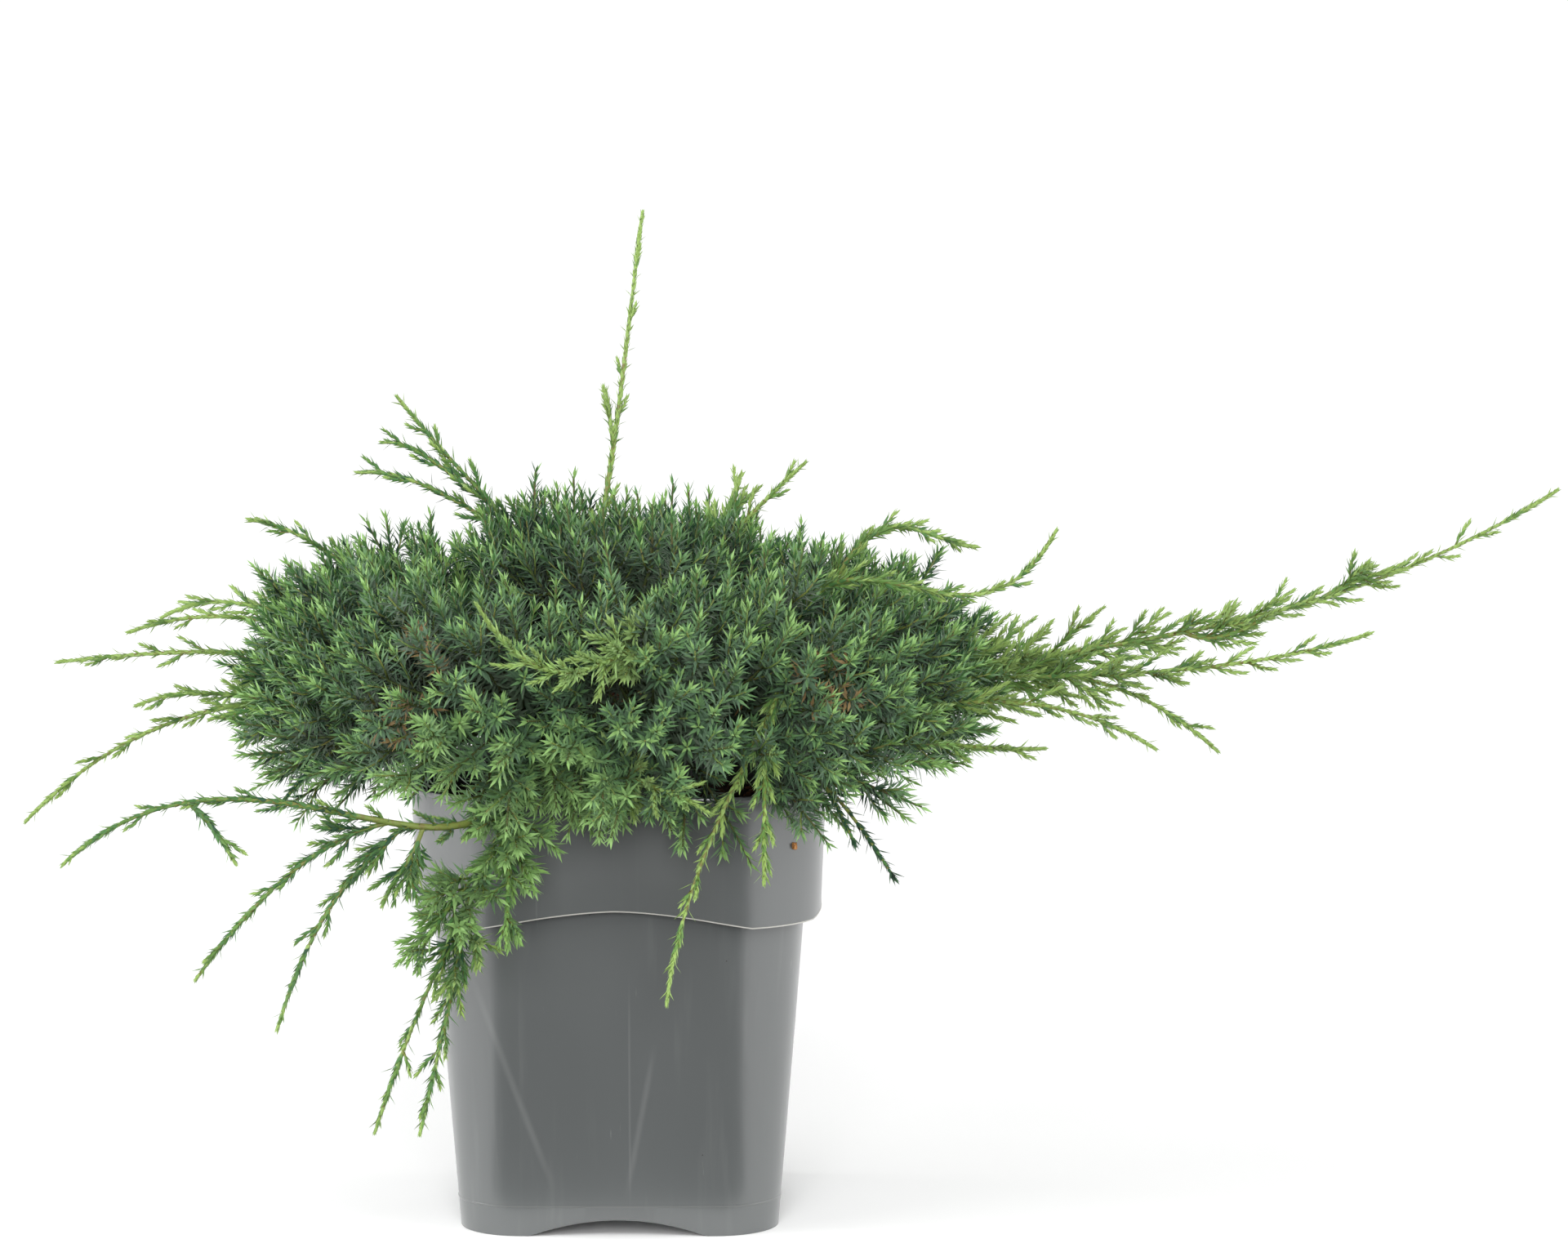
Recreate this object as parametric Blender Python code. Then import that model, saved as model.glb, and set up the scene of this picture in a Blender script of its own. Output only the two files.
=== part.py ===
"""Potted blue carpet juniper: a low, dense mound of needle sprays with long leading shoots, in a square nursery pot.

Run it with blender --background --python part.py, or from the text editor. Metres, Z up. The origin is the centre of
the pot's foot, on the surface that it stands on. X runs to the right and Y away from the viewer. An azimuth is in
degrees from +X towards +Y, so the viewer's side is 270.
"""

import math
import random

import bmesh
import bpy
import numpy as np
from mathutils import Matrix, Vector
from mathutils.bvhtree import BVHTree

MM = 0.001
GAP = 0.3 * MM
UP = Vector((0, 0, 1))
SEED = 41
WELD = 0.001 * MM

# Pot: outside half widths and corner radii of its body at the foot and at the rim's level
POT_HEIGHT = 184 * MM
WALL = 1.5 * MM
FOOT_HALF, FOOT_CORNER = 65.7 * MM, 26 * MM
BODY_TOP_HALF, BODY_TOP_CORNER = 81 * MM, 44 * MM
CORNER_STEPS, SIDE_STEPS = 4, 6

# Band round the pot's top: how far it stands out at its lower edge and at the rim, and how that edge arches
BAND_LOW_OUT, BAND_TOP_OUT = 6.8 * MM, 4.5 * MM
BAND_LOW, BAND_ARCH, BAND_ARCH_HALF, BAND_ARCH_POWER = 129.5 * MM, 7.5 * MM, 55 * MM, 1.6
STEP_HEIGHT = 1.2 * MM
LIP_OUT, LIP_HEIGHT = 1.0 * MM, 2.5 * MM

# Pot's raised floor with its middle foot, the arches between its corner feet, and its drain holes
FLOOR_UNDER, FLOOR_THICK = 11 * MM, 2 * MM
MIDDLE_FOOT_HALF, MIDDLE_FOOT_CORNER = 14 * MM, 9 * MM
FOOT_ARCH, FOOT_ARCH_HALF, FOOT_ARCH_POWER = 6.5 * MM, 36 * MM, 2
DRAIN_RADIUS, DRAIN_RING, DRAIN_COUNT, DRAIN_SIDES = 5 * MM, 38 * MM, 4, 8

# Soil, which fills the pot to this far under its rim
SOIL_LEVEL = POT_HEIGHT - 14 * MM

# Trunk: height over the soil, shares of it with the radius there in mm, and lean
TRUNK_HEIGHT = 46 * MM
TRUNK_TAPER = ((0, 11), (0.1, 8.4), (0.25, 7.0), (0.6, 6.2), (1, 4.6))
TRUNK_LEAN = Vector((3, -2, 0)) * MM
TRUNK_RUNS, TRUNK_ROUNDNESS = 4, 3

# Boughs: radii at both ends, their tips in the ring and in the middle, and how far they bow up
BOUGH_ROOT_RADIUS, BOUGH_TIP_RADIUS = 2.4 * MM, 1.7 * MM
RING_BOUGH_REACH, RING_BOUGH_LEVEL = 57 * MM, 209 * MM
MIDDLE_BOUGH_REACH, MIDDLE_BOUGH_LEVEL = 15 * MM, 238 * MM
BOUGH_BOW = 2.5 * MM
BOUGH_RUNS, BOUGH_ROUNDNESS = 3, 1

# Spaces: the masses in the middle stand on a column inside the ring, and spread over it above a level
MIDDLE_RADIUS = 60 * MM
RING_TOP, RING_TOP_REACH = 299 * MM, 134 * MM
SPACE_EDGE = 0.8 * MM

# Mound: its outline is a dome with this foot level, rise and radius
DOME_FOOT, DOME_RISE, DOME_RADIUS = 204 * MM, 97 * MM, 172 * MM
DOME_POWER = 2.4
DOME_HEART = Vector((0, 0, 165)) * MM

# Cores: centre and half sizes along the reach, across it and up
RING_CORE_REACH, RING_CORE_LEVEL = 101 * MM, 219 * MM
RING_CORE_HALF = Vector((36, 42, 28)) * MM
MIDDLE_CORE_REACH, MIDDLE_CORE_LEVEL = 31 * MM, 254 * MM
MIDDLE_CORE_HALF = Vector((26, 46, 13)) * MM
CORE_EDGE = 1.5 * MM

# Stems of the shoots, which end inside the tip spray with this share of it still to go
STEM_RADIUS, STEM_TIP_RADIUS = 1.8 * MM, 0.8 * MM
SIDE_STEM_RADIUS = 1.3 * MM
STEM_RUN = 26 * MM
STEM_END_SHARE = 0.75
SHOOT_RUNS = 8
LEADER_RUN, FORK_SHARE = 15 * MM, 0.8
LENGTH_STEPS, DIRECTION_STEP = 20, 0.01

# Sprays: length and width on the mound, along the shoots and at their tips
MOUND_SPRAY = 40 * MM, 15 * MM
SHOOT_SPRAY = 21 * MM, 6.5 * MM
TIP_SPRAY = 24 * MM, 6 * MM
SPRAY_SUNK = 0.15
TOOTH_SHARES = 0.34, 0.45, 0.56
SHOULDER_SHARE, WAIST_SHARE = 0.35, 0.6
SHOULDER_ROOM, WAIST_ROOM, TIP_ROOM = 0.42, 0.2, 0.1
WHORL_TURN = math.radians(137.5)

# Sprays along the shoots: how far apart, their angle, the spread of their lengths, and room to the core and each other
SHOOT_SPRAY_SPACING = 19 * MM
SHOOT_SPRAY_ANGLE = math.radians(33)
SHOOT_LENGTHS = 0.8, 1.15
SHOOT_CORE_ROOM, SHOOT_TIP_SPACING = 3 * MM, 4 * MM

# Sprays on the mound: most on a core, how far apart, the spread of lengths and widths, and how they lean: away from
# the core, up, down where they leave its underside, and at random; then how squarely they stand and how much is cut
RING_SPRAYS, MIDDLE_SPRAYS = 90, 100
MOUND_SPRAY_SPACING = 14 * MM
MOUND_LENGTHS, MOUND_WIDTHS = (0.9, 1.12), (0.85, 1.15)
LEAN_OUT, LEAN_UP, LEAN_DOWN, LEAN_CHANCE = 0.45, 0.3, -0.75, 0.22
UNDERSIDE_LEVEL, LEAST_FACING, MOST_CUT = -0.2, 0.2, 0.3

# Masses round the crown: name, azimuths that it fills, height where its bough leaves the trunk, and its shoots.
# A shoot: name, the shoot that it leaves (or None) and at which share of its length, then its tip's azimuth in
# degrees, reach and height in mm, then how far it stands over its chord at one and two thirds, and to its left there.
RING = (
    ("east", -19, 13, 12, (
        ("long", None, 0, -0.5, 392, 302, -10, -18, 0, 0),
        ("long_side", "long", 0.52, -5, 300, 257, -4, 2, 0, 0),
        ("long_spur", "long", 0.70, -3, 328, 271, 2, 2, 0, 0),
        ("mid", "long", 0.12, -11, 315, 248, -4, -7, 0, 0),
        ("fall", "long", 0.26, -9.5, 252, 197, 8, 10, 0, 0),
        ("high", None, 0, 3, 150, 280, 14, 10, 0, 0),
    )),
    ("east_front", -40, -19, 24, (
        ("bow", None, 0, -22.5, 238, 205, 8, 14, 0, 0),
        ("low", "bow", 0.2, -31, 203, 206, -4, -4, 0, 0),
        ("rise", None, 0, -21.5, 194, 292, 8, -6, -4, -4),
    )),
    ("right_front", -58, -40, 14, (
        ("droop", None, 0, -43, 156, 153, 10, 10, 0, 0),
        ("droop_side", "droop", 0.45, -49, 148, 168, 4, 4, 0, 0),
    )),
    ("front", -100, -58, 26, (
        ("hang", None, 0, -82, 162, 111, 30, 22, 26, 24),
        ("hang_side", "hang", 0.55, -69, 168, 158, 6, 4, 0, 0),
        ("pale", None, 0, -106, 187, 273, -10, -10, 6, 6),
        ("near", None, 0, -76.5, 166, 188, -4, 0, -20, -16),
    )),
    ("left_front", -146, -100, 12, (
        ("arch", None, 0, -137.5, 286, 173, -20, 8, 46, 32),
        ("arch_a", "arch", 0.80, -130, 222, 168, 2, 2, 0, 0),
        ("arch_b", "arch", 0.38, -121, 176, 148, -2, 0, 0, 0),
        ("arch_c", "arch", 0.45, -133, 238, 124, 10, 10, 0, 0),
        ("arch_d", "arch", 0.42, -127, 217, 103, 10, 14, 0, 0),
        ("drop", None, 0, -122, 177, 58, 30, 26, 22, 14),
        ("drop_side", "drop", 0.62, -116, 172, 58, 2, 4, 2, 2),
        ("drop_left", "drop", 0.55, -117, 172, 128, 2, 2, 0, 0),
        ("drop_right", "drop", 0.40, -105, 158, 132, 4, 4, 0, 0),
    )),
    ("left_low", -167, -146, 24, (
        ("flat", None, 0, -163, 177, 212, 6, 6, 0, 0),
        ("flat_side", "flat", 0.3, -160, 166, 201, 2, 4, 0, 0),
        ("dip", "flat", 0.2, -150, 158, 180, 4, 6, 0, 0),
    )),
    ("left", -184, -167, 13, (
        ("sweep", None, 0, -171, 250, 168, 18, 24, 0, 0),
        ("sweep_a", "sweep", 0.35, -174, 204, 214, 2, 4, 0, 0),
        ("reach", None, 0, -180, 238, 230, 12, 10, 0, 0),
    )),
    ("left_back", -203, -184, 23, (
        ("upper", None, 0, -188, 214, 240, 14, 16, 0, 0),
        ("curl", "upper", 0.35, -194, 206, 244, 8, 10, 0, 0),
        ("top", None, 0, -187, 160, 290, 14, 14, 0, 0),
    )),
    ("back_left", -235, -203, 12, (
        ("lead", None, 0, -218, 232, 196, 16, 20, 4, 4),
        ("side", "lead", 0.4, -228, 190, 214, 6, 6, 0, 0),
    )),
    ("back", -264, -235, 25, (
        ("lead", None, 0, -246, 205, 176, 20, 26, -4, -4),
        ("side", "lead", 0.35, -256, 180, 216, 4, 6, 0, 0),
    )),
    ("back_mid", -292, -264, 13, (
        ("lead", None, 0, -279, 236, 218, 2, 6, 4, 4),
        ("side", "lead", 0.4, -270, 190, 190, 8, 10, 0, 0),
    )),
    ("back_right", -320, -292, 24, (
        ("lead", None, 0, -309, 214, 170, 20, 26, 0, 0),
        ("side", "lead", 0.4, -298, 178, 212, 4, 6, 0, 0),
    )),
    ("right_back", -347, -320, 33, (
        ("lead", None, 0, -336, 226, 206, 12, 16, -4, -4),
        ("side", "lead", 0.4, -327, 184, 222, 2, 4, 0, 0),
    )),
)
MIDDLE = (
    ("crown_left", 80, 200, 38, (
        ("spire", None, 0, 78, 42, 418, 0, 0, -3, -2),
        ("spire_side", "spire", 0.42, 105, 32, 345, 2, 2, 0, 0),
        ("fork", None, 0, 168, 98, 341, 2, 0, 0, 0),
        ("fork_a", "fork", 0.5, 170, 104, 322, 2, 4, 0, 0),
        ("fork_b", "fork", 0.3, 171, 115, 309, 4, 6, 0, 0),
    )),
    ("crown_right", -40, 80, 42, (
        ("nod", None, 0, 10, 80, 314, 2, 2, 0, 0),
        ("nod_side", "nod", 0.4, 40, 66, 307, 2, 2, 0, 0),
    )),
    ("crown_front", 200, 320, 40, (
        ("up", None, 0, 250, 34, 296, 0, 0, 0, 0),
    )),
)


def clear_scene():
    """Removes what the scene holds."""
    for obj in list(bpy.data.objects):
        bpy.data.objects.remove(obj)


def plain_material(name, colour, roughness, metallic=0.0):
    """One Principled material."""
    material = bpy.data.materials.new(name)
    material.use_nodes = True
    shader = material.node_tree.nodes["Principled BSDF"]
    shader.inputs["Base Color"].default_value = (*colour, 1)
    shader.inputs["Roughness"].default_value = roughness
    shader.inputs["Metallic"].default_value = metallic
    return material


def new_collection(name):
    """A collection in the scene."""
    collection = bpy.data.collections.new(name)
    bpy.context.scene.collection.children.link(collection)
    return collection


def place(name, mesh, material, collection):
    """A new object of this mesh and material."""
    mesh.materials.clear()
    mesh.materials.append(material)
    obj = bpy.data.objects.new(name, mesh)
    collection.objects.link(obj)
    return obj


def mesh_of(name, bm):
    """The finished mesh of a bmesh, its faces turned outwards."""
    bmesh.ops.recalc_face_normals(bm, faces=bm.faces)
    mesh = bpy.data.meshes.new(name)
    bm.to_mesh(mesh)
    bm.free()
    return mesh


def polar(azimuth, reach, height):
    """The point at this azimuth in degrees, this far from the upright axis and this high."""
    turn = math.radians(azimuth)
    return Vector((reach * math.cos(turn), reach * math.sin(turn), height))


def rounded_square(half, corner):
    """Points round a square with round corners."""
    flat = half - corner
    points = []
    for quarter in range(4):
        turn = Matrix.Rotation(quarter * math.pi / 2, 2)
        for step in range(CORNER_STEPS):
            angle = math.pi / 2 * step / CORNER_STEPS
            points.append(turn @ Vector((flat + corner * math.cos(angle), flat + corner * math.sin(angle))))
        for step in range(SIDE_STEPS):
            along = 1 - 2 * step / SIDE_STEPS
            points.append(turn @ Vector((flat * along, half)))
    return points


def arched(points, height, lift, half, power):
    """The points at this height, raised in an arch over the middle of each side."""
    ring = []
    for p in points:
        along = min(1.0, min(abs(p.x), abs(p.y)) / half)
        ring.append(Vector((*p, height + lift * (1 - along**power))))
    return ring


def loft(bm, rings):
    """Joins rings of points, each to the next, and caps the first and the last."""
    made = [[bm.verts.new(point) for point in ring] for ring in rings]
    count = len(made[0])
    for low, high in zip(made, made[1:]):
        for i in range(count):
            j = (i + 1) % count
            bm.faces.new((low[i], low[j], high[j], high[i]))
    bm.faces.new(list(reversed(made[0])))
    bm.faces.new(made[-1])


def pot_size(height):
    """Half width and corner radius of the pot's body at this height, without the band."""
    share = height / POT_HEIGHT
    return (
        FOOT_HALF + (BODY_TOP_HALF - FOOT_HALF) * share,
        FOOT_CORNER + (BODY_TOP_CORNER - FOOT_CORNER) * share,
    )


def pot_ring(height, out=0.0, lift=0.0):
    """One ring of the pot: out moves it outwards, and lift is how far it arches up over the middle of each side."""
    half, corner = pot_size(height)
    return arched(rounded_square(half + out, corner + out), height, lift, BAND_ARCH_HALF, BAND_ARCH_POWER)


def foot_ring(out):
    """The foot's lower edge, which arches up along each side."""
    points = rounded_square(FOOT_HALF + out, FOOT_CORNER + out)
    return arched(points, 0, FOOT_ARCH, FOOT_ARCH_HALF, FOOT_ARCH_POWER)


def make_pot(material, collection, cutters):
    """The pot: a tapered shell with a stepped band, a lip, a raised floor, feet with arches between, and drain holes."""
    middle_foot = rounded_square(MIDDLE_FOOT_HALF, MIDDLE_FOOT_CORNER)
    bm = bmesh.new()
    loft(bm, [
        [Vector((*p, 0)) for p in middle_foot],
        [Vector((*p, FLOOR_UNDER)) for p in middle_foot],
        pot_ring(FLOOR_UNDER, -WALL),
        foot_ring(-WALL),
        foot_ring(0),
        pot_ring(FLOOR_UNDER + FLOOR_THICK),
        pot_ring(BAND_LOW, 0, BAND_ARCH),
        pot_ring(BAND_LOW + STEP_HEIGHT, BAND_LOW_OUT, BAND_ARCH),
        pot_ring(POT_HEIGHT - LIP_HEIGHT, BAND_TOP_OUT),
        pot_ring(POT_HEIGHT - LIP_HEIGHT + LIP_OUT, BAND_TOP_OUT + LIP_OUT),
        pot_ring(POT_HEIGHT, BAND_TOP_OUT + LIP_OUT),
        pot_ring(POT_HEIGHT, BAND_TOP_OUT - WALL),
        pot_ring(BAND_LOW + 2 * STEP_HEIGHT, BAND_LOW_OUT - WALL, BAND_ARCH),
        pot_ring(BAND_LOW - STEP_HEIGHT, -WALL, BAND_ARCH),
        pot_ring(FLOOR_UNDER + FLOOR_THICK, -WALL),
    ])
    pot = place("pot", mesh_of("pot", bm), material, collection)
    for i in range(DRAIN_COUNT):
        cut = pot.modifiers.new(f"drain_{i}", "BOOLEAN")
        cut.operation = "DIFFERENCE"
        cut.object = drain_cutter(i, cutters)


def drain_cutter(index, cutters):
    """A round cutter through the pot's floor, under one corner."""
    bm = bmesh.new()
    bmesh.ops.create_cone(
        bm, cap_ends=True, segments=DRAIN_SIDES, radius1=DRAIN_RADIUS, radius2=DRAIN_RADIUS, depth=4 * FLOOR_THICK,
    )
    spot = polar(45 + 90 * index, DRAIN_RING, FLOOR_UNDER + FLOOR_THICK / 2)
    bmesh.ops.translate(bm, verts=bm.verts, vec=spot)
    hole = bpy.data.objects.new(f"drain_cutter_{index}", mesh_of("drain_cutter", bm))
    hole.hide_render = True
    hole.display_type = "WIRE"
    cutters.objects.link(hole)
    return hole


def make_soil(material, collection):
    """The root ball and soil, which fill the pot and clear its wall by a gap."""
    inside = -WALL - GAP
    bm = bmesh.new()
    loft(bm, [
        pot_ring(FLOOR_UNDER + FLOOR_THICK + GAP, inside),
        pot_ring(BAND_LOW - STEP_HEIGHT, inside, BAND_ARCH),
        pot_ring(BAND_LOW + 4 * STEP_HEIGHT, BAND_TOP_OUT + inside, BAND_ARCH),
        pot_ring(SOIL_LEVEL, BAND_TOP_OUT + inside),
    ])
    place("soil", mesh_of("soil", bm), material, collection)


def off_the_pot(point, radius):
    """True if a ball there keeps clear of the pot: over its rim, or outside its walls."""
    room = radius + 2 * SPACE_EDGE
    if point.z > POT_HEIGHT + room:
        return True
    flat = BODY_TOP_HALF - BODY_TOP_CORNER
    beyond = math.hypot(max(abs(point.x) - flat, 0), max(abs(point.y) - flat, 0))
    return beyond > BODY_TOP_CORNER + BAND_LOW_OUT + room


def limb_mesh(name, points, radii, roundness):
    """A tapering limb: a curve with a round section and closed ends, as a mesh with its ends welded on."""
    curve = bpy.data.curves.new(name, "CURVE")
    curve.dimensions = "3D"
    curve.bevel_depth = 1.0
    curve.bevel_resolution = roundness
    curve.use_fill_caps = True
    spline = curve.splines.new("POLY")
    spline.points.add(len(points) - 1)
    for target, point, radius in zip(spline.points, points, radii):
        target.co = (*point, 1)
        target.radius = radius
    guide = bpy.data.objects.new(name, curve)
    bpy.context.scene.collection.objects.link(guide)
    depsgraph = bpy.context.evaluated_depsgraph_get()
    mesh = bpy.data.meshes.new_from_object(guide.evaluated_get(depsgraph))
    bpy.data.objects.remove(guide)
    bm = bmesh.new()
    bm.from_mesh(mesh)
    bmesh.ops.remove_doubles(bm, verts=bm.verts, dist=WELD)
    return mesh_of(name, bm)


def trunk_point(share):
    """The trunk's centre at this share of its height."""
    return Vector((0, 0, SOIL_LEVEL + GAP)) + TRUNK_LEAN * share**1.5 + UP * TRUNK_HEIGHT * share


def trunk_radius(share):
    """The trunk's radius at this share of its height."""
    shares, radii = zip(*TRUNK_TAPER)
    return float(np.interp(share, shares, radii)) * MM


def make_trunk(material, collection):
    """The short trunk, flared at the soil."""
    shares = [share for share, _ in TRUNK_TAPER]
    points = [trunk_point(share) for share in shares]
    mesh = limb_mesh("trunk", points, [trunk_radius(share) for share in shares], TRUNK_ROUNDNESS)
    mesh.shade_smooth()
    place("trunk", mesh, material, collection)


class Shoot:
    """A centre line: a cubic curve set by its ends and by how far it stands off its chord."""

    def __init__(self, start, tip, radii, rise=(0, 0), left=(0, 0)):
        chord = tip - start
        side = UP.cross(chord).normalized()
        near = UP * rise[0] + side * left[0]
        far = UP * rise[1] + side * left[1]
        near, far = 3 * near - 1.5 * far, 3 * far - 1.5 * near
        self.points = start, start + chord / 3 + near, start + chord * 2 / 3 + far, tip
        self.radii = radii
        marks = [self.at(i / LENGTH_STEPS) for i in range(LENGTH_STEPS + 1)]
        self.length = sum((end - begin).length for begin, end in zip(marks, marks[1:]))

    def at(self, share):
        """The point at this share of the curve."""
        a, b, c, d = self.points
        rest = 1 - share
        return a * rest**3 + b * 3 * rest**2 * share + c * 3 * rest * share**2 + d * share**3

    def along(self, share):
        """The direction of growth there."""
        before, after = max(0, share - DIRECTION_STEP), min(1, share + DIRECTION_STEP)
        return (self.at(after) - self.at(before)).normalized()

    def radius(self, share):
        """The stem's radius there."""
        return self.radii[0] + (self.radii[1] - self.radii[0]) * share


def bough_curve(azimuth, height, middle):
    """A bough from the trunk's side to where its mass starts."""
    share = height * MM / TRUNK_HEIGHT
    reach = MIDDLE_BOUGH_REACH if middle else RING_BOUGH_REACH
    level = MIDDLE_BOUGH_LEVEL if middle else RING_BOUGH_LEVEL
    tip = polar(azimuth, reach, level)
    centre = trunk_point(share)
    out = polar(azimuth, 1, 0)
    rise = tip - centre - out * trunk_radius(share)
    lean = BOUGH_ROOT_RADIUS * rise.normalized().z
    start = centre + out * (trunk_radius(share) + 1.5 * GAP + lean)
    return Shoot(start, tip, (BOUGH_ROOT_RADIUS, BOUGH_TIP_RADIUS), (BOUGH_BOW, BOUGH_BOW))


def make_bough(name, curve, material, collection):
    """One tapering bough."""
    shares = [i / BOUGH_RUNS for i in range(BOUGH_RUNS + 1)]
    points = [curve.at(share) for share in shares]
    mesh = limb_mesh(name, points, [curve.radius(share) for share in shares], BOUGH_ROUNDNESS)
    mesh.shade_smooth()
    place(name, mesh, material, collection)


def shoots_of(rows, start):
    """The shoots of a mass, by name: the first ones start here, and the others on one of those."""
    made = {}
    for name, parent, share, azimuth, reach, height, rise_near, rise_far, left_near, left_far in rows:
        root = made[parent].at(share) if parent else start
        tip = polar(azimuth, reach * MM, height * MM)
        radii = (SIDE_STEM_RADIUS if parent else STEM_RADIUS), STEM_TIP_RADIUS
        made[name] = Shoot(root, tip, radii, (rise_near * MM, rise_far * MM), (left_near * MM, left_far * MM))
    return made


class Space:
    """What a mass may fill: a wedge between two upright planes, in the ring or in the middle."""

    def __init__(self, low, high, middle):
        self.azimuth = (low + high) / 2
        self.half = math.radians(high - low) / 2
        self.middle = middle

    def turned(self, point):
        """The point's reach and its azimuth from the wedge's own."""
        off = math.atan2(point.y, point.x) - math.radians(self.azimuth)
        return math.hypot(point.x, point.y), math.remainder(off, math.tau)

    def holds(self, point, radius):
        """True if a ball there is inside."""
        room = radius + SPACE_EDGE
        reach, off = self.turned(point)
        inward = self.half - abs(off)
        if reach * math.sin(min(inward, math.pi / 2)) < room:
            return False
        if self.middle:
            return reach + room < MIDDLE_RADIUS or (point.z > RING_TOP + room and reach + room < RING_TOP_REACH)
        return reach - room > MIDDLE_RADIUS and (point.z < RING_TOP - room or reach - room > RING_TOP_REACH)

    def squeezed(self, point, room):
        """The point, turned about the axis until it is this far inside the wedge's planes."""
        reach, off = self.turned(point)
        widest = max(0.0, self.half - math.asin(min(1, room / max(reach, room))))
        off = max(-widest, min(widest, off))
        return polar(self.azimuth + math.degrees(off), reach, point.z)


def dome_level(reach):
    """The height of the mound's outline at this reach."""
    share = min(1.0, reach / DOME_RADIUS)
    return DOME_FOOT + DOME_RISE * math.sqrt(1 - share**DOME_POWER)


class Core:
    """The dense heart of a mass: a ball of flat faces, stretched and squeezed into the mass's space."""

    def __init__(self, space):
        self.space = space
        self.half = MIDDLE_CORE_HALF if space.middle else RING_CORE_HALF
        reach = MIDDLE_CORE_REACH if space.middle else RING_CORE_REACH
        self.out = polar(space.azimuth, 1, 0)
        self.across = UP.cross(self.out)
        self.centre = self.out * reach + UP * (MIDDLE_CORE_LEVEL if space.middle else RING_CORE_LEVEL)
        bm = bmesh.new()
        bmesh.ops.create_icosphere(bm, subdivisions=2, radius=1)
        for vert in bm.verts:
            vert.co = self.surface(vert.co)
        bm.normal_update()
        self.tree = BVHTree.FromBMesh(bm)
        self.mesh = mesh_of("core", bm)

    def surface(self, way):
        """The core's surface in this direction from its centre, given along the reach, across it and up."""
        spread = Vector((a * b for a, b in zip(way, self.half)))
        point = self.centre + self.out * spread.x + self.across * spread.y + UP * spread.z
        return self.space.squeezed(point, CORE_EDGE)

    def touches(self, point, radius):
        """True if a ball there meets the core."""
        nearest, normal, _, distance = self.tree.find_nearest(point)
        return distance < radius or (point - nearest).dot(normal) < 0


class Clearance:
    """Every limb, stem and spray so far, as straight runs with a radius, so that a new one keeps off the others."""

    def __init__(self):
        self.owners, self.starts, self.ends, self.radii = [], [], [], []

    def add(self, owner, start, end, radius):
        self.owners.append(owner)
        self.starts.append(start)
        self.ends.append(end)
        self.radii.append(radius)

    def add_curve(self, owner, curve, runs):
        for i in range(runs):
            self.add(owner, curve.at(i / runs), curve.at((i + 1) / runs), curve.radius(i / runs))

    def allows(self, owner, start, end, radius):
        """True if a straight run would keep a gap to those of every other owner."""
        others = np.array([name != owner for name in self.owners])
        starts = np.array(self.starts)[others]
        runs = np.array(self.ends)[others] - starts
        radii = np.array(self.radii)[others]
        for share in (0, 0.25, 0.5, 0.75, 1):
            point = np.array(start.lerp(end, share))
            along = np.clip(((point - starts) * runs).sum(1) / (runs**2).sum(1), 0, 1)
            away = np.linalg.norm(point - starts - runs * along[:, None], axis=1)
            if (away < radii + radius + 2 * GAP).any():
                return False
        return True


def across(direction, turn):
    """A unit vector square to the direction, turned about it."""
    side = direction.orthogonal().normalized()
    return Matrix.Rotation(turn, 3, direction) @ side


def stem_mesh(curve, end_share):
    """A three-sided twig along a curve, drawn to a point at its end."""
    runs = max(1, round(curve.length * end_share / STEM_RUN))
    bm = bmesh.new()
    rings = []
    for i in range(runs + 1):
        share = end_share * i / runs
        side = across(curve.along(share), 0)
        turn = Matrix.Rotation(math.tau / 3, 3, curve.along(share))
        ring = [curve.at(share) + side * curve.radius(share)]
        ring.append(curve.at(share) + turn @ side * curve.radius(share))
        ring.append(curve.at(share) + turn @ turn @ side * curve.radius(share))
        rings.append(ring)
    loft(bm, rings)
    return mesh_of("stem", bm)


def spray_mesh(root, tip, width, turn):
    """A spray: a slim three-sided spindle whose edges stand out at unlike heights, as teeth."""
    run = tip - root
    bm = bmesh.new()
    foot, head = bm.verts.new(root), bm.verts.new(tip)
    teeth = []
    for i, share in enumerate(TOOTH_SHARES):
        side = across(run.normalized(), turn + i * math.tau / 3)
        teeth.append(bm.verts.new(root + run * share + side * width / 2))
    for i, tooth in enumerate(teeth):
        following = teeth[(i + 1) % 3]
        bm.faces.new((foot, following, tooth))
        bm.faces.new((head, tooth, following))
    return mesh_of("spray", bm)


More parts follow.
